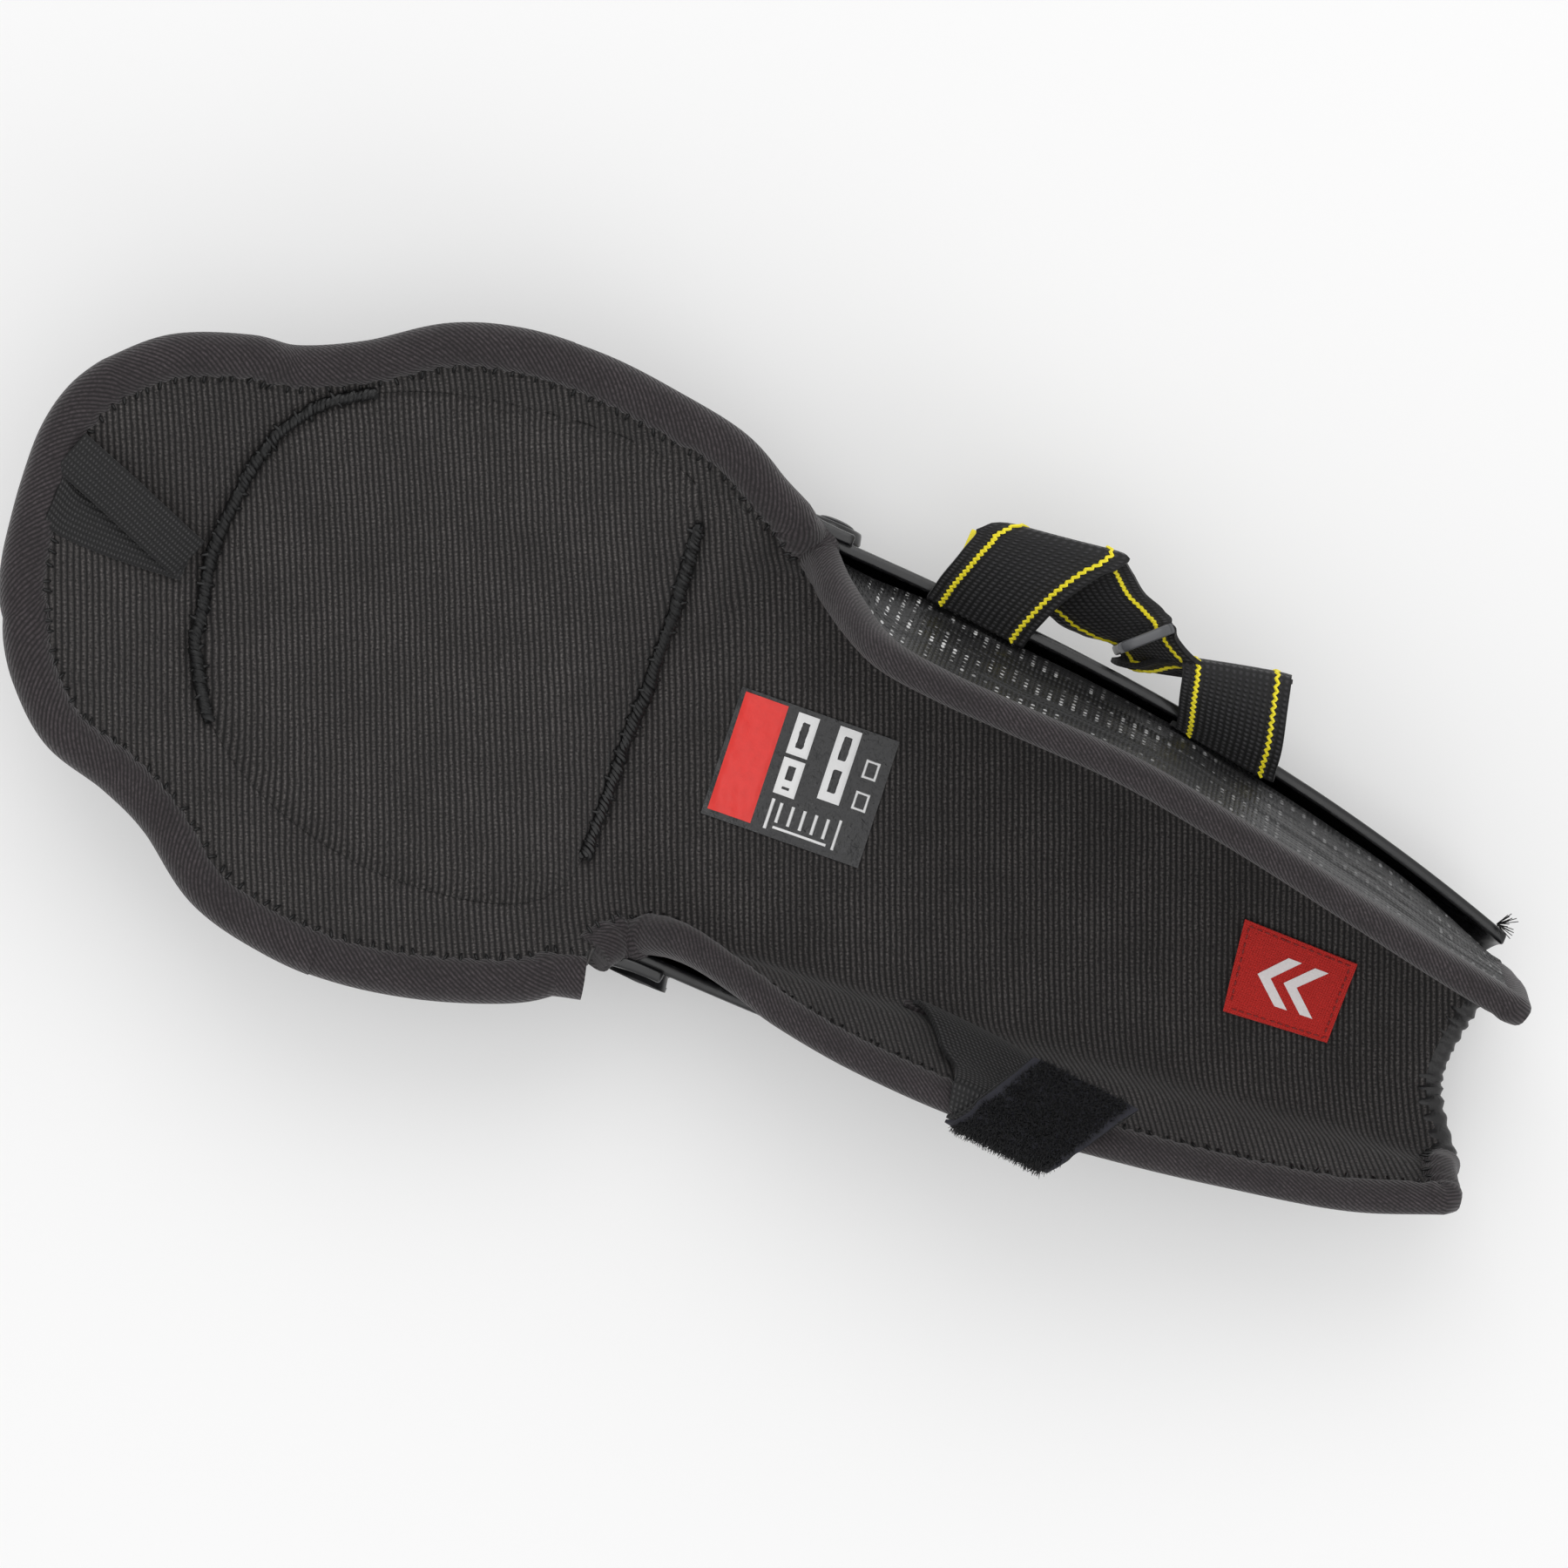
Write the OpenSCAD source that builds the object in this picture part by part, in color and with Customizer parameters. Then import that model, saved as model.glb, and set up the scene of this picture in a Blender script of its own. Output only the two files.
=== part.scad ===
// Ice hockey shin guard, lying on its front with the open leg side up.
// X runs from the thigh to the ankle, Y across the leg, Z from the front plates to the calf.
// The origin is the centre of the flat face on the front of the knee cap.

/* [Trade size] */
// Knee centre to the lower end of the shin liner
guard_size = 260; // [256:1:262]
// Knee centre to the hem of the thigh flap
flap_reach = 112; // [110:1:114]

/* [Hard plates] */
// Wall thickness of the moulded plates
wall = 3; // [2.5:0.1:3]
// Half width of the shin plate at the knee
shin_half_w = 56.5; // [56:0.1:57]
// How much each side of the shin plate tapers in towards the ankle
shin_taper = 23; // [22.5:0.5:23]
// Height of the shin plate's side rim
shin_rim = 34; // [33:0.5:34]
// Half width of the knee cap
knee_half_w = 69; // [68.5:0.1:69.5]
// Height of the knee cap's rim
knee_rim = 36; // [35.5:0.1:36]
// Thickness of the stiffener plates inside the flap and wings
stiffener = 1.6; // [1.4:0.1:1.6]

/* [Padding] */
// Thickness of the lining pads
lining = 6; // [5.5:0.1:6]
// Half width of the knee section over its binding
pad_half_w = 81; // [80:0.5:81]
// Radius of the rolled edge binding
roll = 5; // [4.5:0.1:5]

/* [Webbing] */
// Width of the elastic strap and the closure strap
strap_w = 26; // [25:0.5:26.5]
// Thickness of the elastic
strap_t = 1.8; // [1.6:0.1:2]
// Width of the pull loop's tape
pull_w = 10.5; // [10:0.5:11]

/* [Joints] */
// Distance of the knee rivets below the knee centre
knee_pivot_x = 72; // [71:0.5:72]
// Height of the knee rivets
knee_pivot_z = 26; // [25.5:0.5:26]
// Distance of the flap's flex line above the knee centre
flap_pivot_x = 68; // [68:0.5:69]

/* [Hidden] */
$fn = 48;

gap = 0.3;
keel = 5.5;
shin_top = 66;
shin_end = 254;
cap_top = -56;
cap_end = 84;
cap_keel = 1;
wing_hinge_z = 28;
wing_start = 80;
wing_spread = 47;
wing_narrowing = 0.119;
cover = 1.6;
flex_gap = 4;
rivet_r = 2;
rivet_clearance = 0.05;
rib_w = 12;
rib_start = 102;
rib_end = 238;
floor_rivets = [[92, 20], [242, 13]];
pad_offset = -7.5;
pad_drift = 3.5;
knee_section_end = 56;
shin_liner_start = 68;
shin_liner_z = 21;
channel_rise = 7;
knee_pad_centre = 10;
knee_pad_half_w = 58;
left = 1;
right = -1;

// Numbers and surfaces

function mix(a, b, t) = a + (b - a) * t;
function clamp(v, low, high) = max(low, min(high, v));
function steps(n) = [for (i = [0:n]) i / n];
function root3(v) = pow(max(v, 0), 1 / 3);
// Rise of a boxy U section: 0 on the centre line, 1 at the wall
function bow(t) = 1 - root3(1 - pow(min(abs(t), 1), 3));
function span(a) = sign(a) * pow(sin(abs(a)), 2 / 3);
function lift(a) = 1 - pow(max(cos(a), 0), 2 / 3);

function shin_w(x) = shin_half_w - shin_taper * pow(max(x - shin_top, 0) / 196, 2.6);
function shin_d(x) = shin_rim - keel - 4 * max(x - 150, 0) / 100;
function smooth_step(a, b, x) = let (t = clamp((x - a) / (b - a), 0, 1)) t * t * (3 - 2 * t);
function cap_w(x) = x < 20 ? knee_half_w * sqrt(1 - pow((20 - x) / 104, 2)) : knee_half_w - 7.2 * smooth_step(30, 68, x);
function cap_k(x) = x < 15 ? cap_keel + 35 * (1 - sqrt(1 - pow((15 - x) / 84, 2))) : cap_keel;
function shin_inner_z(x, y) = keel + wall + (shin_d(x) - wall) * bow(y / (shin_w(x) - wall));
function cap_rim(x) = knee_rim - 9 * clamp((40 - x) / 60, 0, 1);
function cap_inner_z(x, y) = cap_k(x) + wall + (cap_rim(x) - cap_k(x) - wall) * bow(y / (cap_w(x) - wall));

// Knee section and thigh flap: middle line, half width and height of the bowl
function pad_mid(x) = pad_offset + pad_drift * clamp(x / 60, -1, 1);
function pad_w(x) =
    x > 0 ? pad_half_w - 17 * pow(x / 60, 2) :
    x > -62 ? mix(57, pad_half_w, cos(90 * x / 62)) :
    57 * sqrt(1 - pow(min((-62 - x) / (flap_reach - 61), 1), 2));
function bowl_z(x) = x > 0 ? 25 - 3 * pow(x / 60, 2) : x > -60 ? 25 + 9 * pow(x / 60, 2) : 34 + 0.56 * (-60 - x);
function bowl_h(x) =
    x > 0 ? 33 - 3 * pow(x / 60, 2) :
    x > -62 ? 20 + 13 * cos(90 * x / 62) :
    20 * pow(pad_w(x) / 57, 2);
function bowl(x, v) = [x, pad_mid(x) + pad_w(x) * v, bowl_z(x) + bowl_h(x) * v * v];
function bowl_at(x, y) = bowl_z(x) + bowl_h(x) * pow((y - pad_mid(x)) / pad_w(x), 2);
function pad_edge(x) = 1 - roll / pad_w(x);

// Shin channel and wings
function hinge_y(x) = wing_spread - wing_narrowing * (x - wing_start);
function channel_y(x) = hinge_y(x) - 6.5;
function channel_z(x, y) = shin_liner_z + channel_rise * pow(y / channel_y(x), 2);
function wing_top_y(side, x) = side == left
    ? 35 - 17 * pow(max(x - 100, 0) / 173, 2.2)
    : 53 - (x > 140 ? 25 * pow((x - 140) / 133, 2) : 6 * pow((140 - x) / 45, 2));
function wing_top_z(side, x) = (side == left ? 76 : 62) - 10 * pow((x - 180) / 90, 2);
function wing_x(u, w) = mix(78 + 16 * w * w, guard_size + 2 + 11 * w, u);
function wing_mid(side, u, w, offset = 0) =
    let (x = wing_x(u, w))
    [x, side * (mix(hinge_y(x), wing_top_y(side, x), w) + 8 * w * (1 - w) + offset),
        mix(wing_hinge_z, wing_top_z(side, x), w)];

// Solids made of grids of points

// Closed solid between two grids with the same rows and columns; the first is the lower one
module slab(low, high) {
    n = len(low);
    m = len(low[0]);
    function at(i, j, top = 0) = (top * n + i) * m + j;
    faces = concat(
        [for (i = [0:n - 2], j = [0:m - 2]) each [[at(i, j), at(i + 1, j), at(i + 1, j + 1)],
            [at(i, j), at(i + 1, j + 1), at(i, j + 1)]]],
        [for (i = [0:n - 2], j = [0:m - 2]) each [[at(i, j, 1), at(i + 1, j + 1, 1), at(i + 1, j, 1)],
            [at(i, j, 1), at(i, j + 1, 1), at(i + 1, j + 1, 1)]]],
        [for (i = [0:n - 2]) each [[at(i, 0), at(i, 0, 1), at(i + 1, 0, 1)], [at(i, 0), at(i + 1, 0, 1), at(i + 1, 0)],
            [at(i, m - 1), at(i + 1, m - 1, 1), at(i, m - 1, 1)], [at(i, m - 1), at(i + 1, m - 1), at(i + 1, m - 1, 1)]]],
        [for (j = [0:m - 2]) each [[at(0, j), at(0, j + 1, 1), at(0, j, 1)], [at(0, j), at(0, j + 1), at(0, j + 1, 1)],
            [at(n - 1, j), at(n - 1, j, 1), at(n - 1, j + 1, 1)], [at(n - 1, j), at(n - 1, j + 1, 1), at(n - 1, j + 1)]]]);
    polyhedron(concat([for (r = low) each r], [for (r = high) each r]), faces, convexity = 8);
}

// Round tube of n sides along a path, its rings square to the path
module tube(path, r, n = 8) {
    m = len(path);
    function dir(i) = let (d = path[min(i + 1, m - 1)] - path[max(i - 1, 0)]) d / norm(d);
    function side_of(d) = let (s = cross(d, [0.12, 0.21, 0.97])) s / norm(s);
    rings = [for (i = [0:m - 1]) let (d = dir(i), s = side_of(d), t = cross(s, d))
        for (k = [0:n - 1]) path[i] + r * (cos(360 * k / n) * s + sin(360 * k / n) * t)];
    walls = [for (i = [0:m - 2], k = [0:n - 1]) let (a = i * n + k, b = i * n + (k + 1) % n)
        each [[a, b, b + n], [a, b + n, a + n]]];
    polyhedron(rings, concat(walls, [[for (k = [n - 1:-1:0]) k], [for (k = [0:n - 1]) (m - 1) * n + k]]), convexity = 8);
}

// Flat strap along a path, with the direction of its width at each point
module ribbon(path, across, width, thick) {
    m = len(path);
    function dir(i) = path[min(i + 1, m - 1)] - path[max(i - 1, 0)];
    function up(i) = let (c = cross(dir(i), across[i])) c / norm(c);
    function wide(i) = across[i] / norm(across[i]) * width / 2;
    slab([for (i = [0:m - 1]) [path[i] - wide(i) - up(i) * thick / 2, path[i] + wide(i) - up(i) * thick / 2]],
        [for (i = [0:m - 1]) [path[i] - wide(i) + up(i) * thick / 2, path[i] + wide(i) + up(i) * thick / 2]]);
}

// Layer of the bowl from one depth to another under its inner face
module bowl_layer(from_x, to_x, near, far, n = 8, m = 10) {
    function grid(depth) = [for (u = steps(n)) let (x = mix(from_x, to_x, u))
        [for (v = steps(m)) bowl(x, mix(-1, 1, v) * pad_edge(x)) - [0, 0, depth]]];
    slab(grid(far), grid(near));
}

// Layer of a wing from one offset to another across its thickness
module wing_layer(side, inner, outer) {
    function grid(offset) = [for (u = steps(9)) [for (w = steps(4)) wing_mid(side, u, w, offset)]];
    if (side == left) slab(grid(outer), grid(inner));
    else slab(grid(inner), grid(outer));
}

module wing_roll(side) {
    tube(concat([for (w = [0.3, 0.55, 0.8]) wing_mid(side, 0, w)],
        [for (u = steps(11)) wing_mid(side, u, 1)],
        [for (w = [0.8, 0.55, 0.3]) wing_mid(side, 1, w)]), roll);
}

module along_y(y) translate([0, y, 0]) rotate([-90, 0, 0]) children();

// Shin: the fixed body

module shin_shell() {
    function grid(inset) = [for (u = steps(12)) [for (s = steps(14)) let (a = mix(-90, 90, s),
        x = mix(shin_top - 6 * pow(abs(sin(a)), 6), shin_end + 6 * pow(sin(a), 2), u))
        [x, (shin_w(x) - inset) * span(a), keel + inset + (shin_d(x) - inset) * lift(a)]]];
    color([0.06, 0.06, 0.065]) difference() {
        union() {
            slab(grid(0), grid(wall));
            shin_rib();
        }
        for (y = [-80, 40]) translate([knee_pivot_x, 0, knee_pivot_z]) along_y(y)
            cylinder(r = rivet_r, h = 40);
        for (p = floor_rivets, s = [-1, 1]) translate([p[0], s * p[1], 0]) cylinder(r = rivet_r, h = 14);
    }
}

// Flat rib on the front, the face that the guard lies on
module shin_rib() intersection() {
    translate([0, 30, 0]) rotate([90, 0, 0]) linear_extrude(60)
        polygon([[rib_start, 0], [rib_end, 0], [rib_end + 8, keel + 1], [rib_start - 8, keel + 1]]);
    translate([rib_start - 10, 0, 0]) rotate([90, 0, 90]) linear_extrude(rib_end - rib_start + 20)
        polygon([[-rib_w / 2, 0], [rib_w / 2, 0], [rib_w, keel + 1], [-rib_w, keel + 1]]);
}

module shin_rivets() color("silver")
    for (p = floor_rivets, s = [-1, 1]) translate([p[0], s * p[1], 0]) {
        translate([0, 0, 4.2]) cylinder(r = 4.5, h = 1.8);
        translate([0, 0, 5]) cylinder(r = rivet_r, h = 5);
        translate([0, 0, 9]) cylinder(r = 4, h = 1.2);
    }

module knee_pivot_rivets() color("silver")
    for (s = [0, 1]) mirror([0, s, 0]) translate([knee_pivot_x, 0, knee_pivot_z]) {
        along_y(51.7) cylinder(r = 3.6, h = 1.5);
        along_y(52) cylinder(r = rivet_r - rivet_clearance, h = 11.5);
        along_y(62.6) cylinder(r = 5.5, h = 1.8);
    }

module shin_foam() {
    x_at = [for (u = steps(7)) mix(100, 232, u)];
    function half(x) = channel_y(x) - 6;
    color([0.3, 0.3, 0.32]) slab([for (x = x_at) [for (s = steps(6)) let (y = mix(-1, 1, s) * half(x)) [x, y, shin_inner_z(x, y)]]],
        [for (x = x_at) [for (s = steps(6)) let (y = mix(-1, 1, s) * half(x)) [x, y, channel_z(x, y) - lining]]]);
}

module shin_liner() {
    function end_x(t) = guard_size - 5 + 5 * t * t;
    function grid(depth) = [for (u = steps(10)) [for (s = steps(8)) let (t = mix(-1, 1, s),
        x = mix(shin_liner_start, end_x(t), u), y = t * channel_y(x)) [x, y, channel_z(x, y) - depth]]];
    color([0.16, 0.16, 0.16]) slab(grid(lining), grid(0));
}

module ankle_binding() color([0.2, 0.19, 0.2])
    tube([for (s = steps(8)) let (t = mix(-0.82, 0.82, s), x = guard_size - 3 + 5 * t * t, y = t * channel_y(x))
        [x, y, channel_z(x, y) - lining / 2]], roll - 1);

// Thin sheet lying on the shin liner
module shin_sheet(x0, x1, y0, y1, thick) {
    function grid(h) = [for (u = steps(4)) [for (v = steps(4)) let (x = mix(x0, x1, u), y = mix(y0, y1, v))
        [x, y, channel_z(x, y) + h]]];
    slab(grid(0.35), grid(0.35 + thick));
}

module size_label() color([0.85, 0.2, 0.15]) shin_sheet(71, 107, -17, 16, 0.4);

module badge_patch() color([0.8, 0.1, 0.1]) shin_sheet(201, 230, -10, 11.5, 0.8);

// The two sewn ends of the elastic, held between the left wing and the shin plate
module strap_anchor() color([0.1, 0.1, 0.1])
    for (x = [112, 178]) let (y = shin_w(x) - wall - 0.6)
        ribbon([[x, y - 1, 26], [x, y - 0.3, 30], [x, y, 35.5]], [for (k = [0:2]) [1, -0.07, 0]], strap_w, strap_t);

// Knee: turns on the two side rivets

module knee_cap() {
    function grid(inset) = [for (u = steps(12)) [for (s = steps(14)) let (a = mix(-90, 90, s),
        x = mix(cap_top, cap_end, u))
        [x, (cap_w(x) - inset) * span(a), cap_k(x) + inset + (cap_rim(x) - cap_k(x) - inset) * lift(a)]]];
    color([0.06, 0.06, 0.065]) difference() {
        union() {
            slab(grid(0), grid(wall));
            cylinder(r = 14, h = cap_keel + 1.5);
            for (s = [0, 1]) mirror([0, s, 0]) translate([knee_pivot_x, 0, knee_pivot_z]) along_y(57.6)
                cylinder(r = 7.5, h = 4.8);
        }
        for (s = [0, 1]) mirror([0, s, 0]) translate([knee_pivot_x, 0, knee_pivot_z]) along_y(50)
            cylinder(r = rivet_r, h = 20);
    }
}

module knee_foam() {
    x_at = [for (u = steps(6)) mix(-44, 50, u)];
    function half(x) = x < -20 ? 42 : 46;
    color([0.3, 0.3, 0.32]) slab([for (x = x_at) [for (s = steps(6)) let (y = mix(-1, 1, s) * half(x)) [x, y, cap_inner_z(x, y)]]],
        [for (x = x_at) [for (s = steps(6)) let (y = mix(-1, 1, s) * half(x))
            [x, y, bowl_at(x, y) - lining - cover - gap]]]);
}

module knee_cover() color([0.12, 0.12, 0.12])
    bowl_layer(flex_gap - flap_pivot_x, knee_section_end, lining + gap, lining + gap + cover);

module knee_liner() color([0.16, 0.16, 0.16])
    bowl_layer(flex_gap - flap_pivot_x, knee_section_end, 0, lining);

// Pillow sewn on the lining in front of the kneecap
module knee_pad() {
    function half(x) = knee_pad_half_w * (x < knee_pad_centre
        ? sqrt(max(1 - pow((knee_pad_centre - x) / 73, 2.4), 0.02))
        : sqrt(max(1 - pow((x - knee_pad_centre) / 37, 8), 0.02)));
    function crown(u, v) = 1 + 4 * (1 - pow(abs(2 * u - 1), 4)) * (1 - pow(abs(2 * v - 1), 4));
    function grid(top) = [for (u = steps(10)) let (x = mix(flex_gap + 1 - flap_pivot_x, 46.5, u))
        [for (v = steps(8)) let (y = -2.5 + half(x) * mix(-1, 1, v))
            [x, y, bowl_at(x, y) + 2 * gap + top * crown(u, v)]]];
    color([0.2, 0.2, 0.2]) slab(grid(0), grid(1));
}

module knee_binding() color([0.15, 0.14, 0.15])
    for (v = [-1, 1]) tube([for (u = steps(12)) let (x = mix(flex_gap - flap_pivot_x, knee_section_end, u))
        bowl(x, v * pad_edge(x)) - [0, 0, lining / 2]], roll);

// Thigh flap: flexes along the crease above the knee cap

flap_start = -flap_pivot_x - flex_gap;
flap_end = -flap_reach + roll + 1;

module thigh_liner() color([0.16, 0.16, 0.16]) bowl_layer(flap_end, flap_start, 0, 4, 6, 8);

module thigh_plate() color([0.75, 0.75, 0.75])
    bowl_layer(flap_end, flap_start, 4 + gap, 4 + gap + stiffener, 6, 8);

module thigh_cover() color([0.12, 0.12, 0.12])
    bowl_layer(flap_end, flap_start, 4 + 2 * gap + stiffener, 4 + 2 * gap + stiffener + 2.2, 6, 8);

module thigh_binding() color([0.15, 0.14, 0.15]) {
    side_x = [for (u = steps(5)) mix(flap_start, flap_end, u)];
    end_v = [for (k = [4:-1:-4]) k / 5];
    path = concat([for (x = side_x) bowl(x, pad_edge(x))], [for (v = end_v) bowl(flap_end, v * pad_edge(flap_end))],
        [for (k = [5:-1:0]) bowl(side_x[k], -pad_edge(side_x[k]))]);
    tube([for (p = path) p - [0, 0, 4]], roll);
}

module pull_loop() color([0.08, 0.08, 0.08])
    ribbon([for (t = steps(6)) let (x = mix(-95, -70, t), y = mix(-7, -10.5, t)) [x, y, bowl_at(x, y) + 2.7]],
        [for (t = steps(6)) [0.25, 1, 0]], pull_w, 2.4);

// Wings: calf flaps hinged along the sides of the shin lining

module left_wing_liner() color([0.16, 0.16, 0.16]) wing_layer(left, -4.2, 0);
module left_wing_plate() color([0.75, 0.75, 0.75]) wing_layer(left, gap, gap + stiffener);
module left_wing_cover() color([0.1, 0.1, 0.1]) wing_layer(left, 2 * gap + stiffener, 4.2);
module left_wing_binding() color([0.2, 0.19, 0.2]) wing_roll(left);
module right_wing_liner() color([0.16, 0.16, 0.16]) wing_layer(right, -4.2, 0);
module right_wing_plate() color([0.75, 0.75, 0.75]) wing_layer(right, gap, gap + stiffener);
module right_wing_cover() color([0.1, 0.1, 0.1]) wing_layer(right, 2 * gap + stiffener, 4.2);
module right_wing_binding() color([0.2, 0.19, 0.2]) wing_roll(right);

// Straps

// Bight of elastic outside the plate's rim, between its two sewn ends: its middle line and the way its width lies
strap_path = [[112, 51.5, 37.3], [113.5, 58, 41.5], [116, 66, 46], [119, 73, 48.8], [122, 77, 48.2], [125, 78.3, 45.6],
    [129, 77, 43], [134, 74.5, 41.5], [140, 71, 40.3], [145.5, 67, 39.5], [150.5, 63.5, 39], [156, 60.5, 38.6],
    [162, 59.5, 38.4], [168, 62, 38.8], [172, 65.3, 40.6], [173, 66.6, 43.4], [173.8, 64.5, 45.6], [175.2, 58.5, 44.8],
    [177, 51.5, 41.2], [178, 46.6, 37]];
strap_across = [[1, -0.07, 0], [1, 0, 0], [1, 0.05, 0], [1, 0.1, 0], [1, 0.15, -0.05], [1, 0.2, -0.25],
    [0.85, 0.2, -0.6], [0.6, 0.2, -0.85], [0.35, 0.1, -1], [0.15, 0, -1], [0, 0, -1], [0.1, 0, -1],
    [0.35, 0.1, -1], [0.7, 0.25, -0.8], [0.9, 0.3, -0.5], [1, 0.3, -0.25], [1, 0.25, 0], [1, 0.15, 0],
    [1, 0, 0], [1, -0.1, 0]];

module elastic_strap() color([0.1, 0.1, 0.1]) ribbon(strap_path, strap_across, strap_w, strap_t);

module strap_tab() color("gold")
    ribbon([[104, 62.5, 42.7], [104.7, 65.7, 44.1], [105.5, 69, 45.4]], [for (k = [0:2]) [1, 0.05, 0]], 6, 1.2);

// Flat plastic loop that the elastic runs through
module strap_ring() color([0.35, 0.35, 0.35]) translate([150.5, 63.5, 39]) rotate([0, 0, -45])
    difference() {
        cube([2.6, 14, 32], center = true);
        cube([4, 8.6, 27.4], center = true);
    }

// Closure strap: out of a slit at the foot of the right wing, over its rim, then folded back on itself
closure_roll = wing_mid(right, 0.37, 1);
function round_roll(r, a, dx = 0) = closure_roll + [dx, -r * cos(a), r * sin(a)];

module closure_base() color([0.1, 0.1, 0.1])
    ribbon(concat([for (w = [0.15, 0.35, 0.55, 0.75]) wing_mid(right, 0.37, w, -5.5)],
        [for (k = [0:5]) round_roll(roll + 1.3, 155 - 29 * k, 1 + k)]),
        [for (k = [0:9]) [1, 0, 0]], strap_w, strap_t);

tab_roll = [for (k = [0:3]) round_roll(roll + 4.8 + k * k / 10, 20 + 28 * k, 8 + 1.3 * k)];
tab_end = [[closure_roll[0] + 15, -45.5, 71], [closure_roll[0] + 18, -41.5, 69], [closure_roll[0] + 21, -38.3, 66]];
tab_across = [for (k = [0:6]) [1, -0.06, 0]];

module closure_tab() color([0.1, 0.1, 0.1]) ribbon(concat(tab_roll, tab_end), tab_across, strap_w, strap_t);

module closure_pile() color([0.05, 0.05, 0.06])
    ribbon(concat([for (k = [0:3]) round_roll(roll + 6.7 + k * k / 10, 20 + 28 * k, 8 + 1.3 * k)],
        [for (p = tab_end) p + [0, 0.9, 1.8]]), tab_across, strap_w - 1, 2);

shin_shell();
shin_rivets();
knee_pivot_rivets();
shin_foam();
shin_liner();
ankle_binding();
size_label();
badge_patch();
strap_anchor();
knee_cap();
knee_foam();
knee_cover();
knee_liner();
knee_pad();
knee_binding();
thigh_cover();
thigh_plate();
thigh_liner();
thigh_binding();
pull_loop();
left_wing_cover();
left_wing_plate();
left_wing_liner();
left_wing_binding();
right_wing_cover();
right_wing_plate();
right_wing_liner();
right_wing_binding();
elastic_strap();
strap_tab();
strap_ring();
closure_base();
closure_tab();
closure_pile();
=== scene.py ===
import math
import random

import bmesh
import bpy
import numpy as np
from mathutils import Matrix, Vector


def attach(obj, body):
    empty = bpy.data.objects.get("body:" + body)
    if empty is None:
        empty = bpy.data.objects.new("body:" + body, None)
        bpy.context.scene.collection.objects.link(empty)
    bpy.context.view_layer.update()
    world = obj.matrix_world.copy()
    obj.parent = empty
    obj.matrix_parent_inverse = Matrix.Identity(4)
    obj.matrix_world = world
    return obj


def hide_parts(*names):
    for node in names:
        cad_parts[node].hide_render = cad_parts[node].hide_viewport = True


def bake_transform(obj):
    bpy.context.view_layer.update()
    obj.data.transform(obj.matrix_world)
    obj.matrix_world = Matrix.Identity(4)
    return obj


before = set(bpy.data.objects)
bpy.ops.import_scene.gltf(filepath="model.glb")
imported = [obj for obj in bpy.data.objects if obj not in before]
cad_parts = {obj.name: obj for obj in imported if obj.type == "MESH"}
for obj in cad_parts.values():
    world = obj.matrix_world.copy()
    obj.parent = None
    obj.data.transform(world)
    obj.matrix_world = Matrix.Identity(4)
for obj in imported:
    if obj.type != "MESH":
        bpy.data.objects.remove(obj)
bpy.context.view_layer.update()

bl_info = {
    "name": "Youth shin guard",
    "version": (1, 0, 0),
    "blender": (4, 5, 0),
    "location": "View3D > Sidebar > Shin guard",
    "description": "Builds the cloth, shells, straps and labels of a youth shin guard round its packed frame",
    "category": "Object",
}

MM = 0.001
LEFT, RIGHT = 1, -1
# The guard is planned as the camera sees it at this height over the floor, in millimetres
PLAN_HEIGHT = 35
VIEW_CENTRE, VIEW_HEIGHT = (85.6, -2.8), 1595
# Least share of a tape's width that may stand square to its line
LEAST_SLANT = 0.75
# Thicknesses in millimetres
SHELL_WALL, ELASTIC_THICK, COVER_GAP, COVER_DEEP = 3.0, 1.7, 0.3, 2.6
# Height over the label's film, thickness and crinkle of what is printed on it
PRINT_LIFT, PRINT_THICK, FILM_CRINKLE = 0.8, 0.12, 0.22


# ---------------------------------------------------------------- numbers

def mix(a, b, t):
    return a + (b - a) * t


def ease(low, high, v):
    t = np.clip((np.asarray(v, float) - low) / (high - low), 0, 1)
    return t * t * (3 - 2 * t)


def unit(v):
    v = np.asarray(v, float)
    return v / np.maximum(np.linalg.norm(v, axis=-1, keepdims=True), 1e-12)


def smooth_line(points, t):
    """Points of a smooth curve through the given ones, at t counted in points."""
    pts = np.asarray(points, float)
    ext = np.vstack([2 * pts[0] - pts[1], pts, 2 * pts[-1] - pts[-2]])
    t = np.clip(np.asarray(t, float), 0, len(pts) - 1)
    i = np.minimum(t.astype(int), len(pts) - 2)
    f = (t - i)[..., None]
    a, b, c, d = ext[i], ext[i + 1], ext[i + 2], ext[i + 3]
    return 0.5 * (2 * b + (c - a) * f + (2 * a - 5 * b + 4 * c - d) * f**2 + (3 * b - a - 3 * c + d) * f**3)


def run_of(line):
    """Distance along a line at each of its points."""
    return np.concatenate([[0], np.cumsum(np.linalg.norm(np.diff(line, axis=0), axis=1))])


def even(points, count, dense=40):
    """The smooth curve through the points, at evenly spaced stations."""
    line = smooth_line(points, np.linspace(0, len(points) - 1, dense * len(points)))
    run = run_of(line)
    at = np.linspace(0, run[-1], count)
    return along(at, run, line)


def along(at, run, values):
    """Values given at the distances run, read off at the distances at."""
    return np.stack([np.interp(at, run, values[:, k]) for k in range(values.shape[1])], 1)


def length_of(line):
    return float(np.linalg.norm(np.diff(line, axis=0), axis=1).sum())


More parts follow.
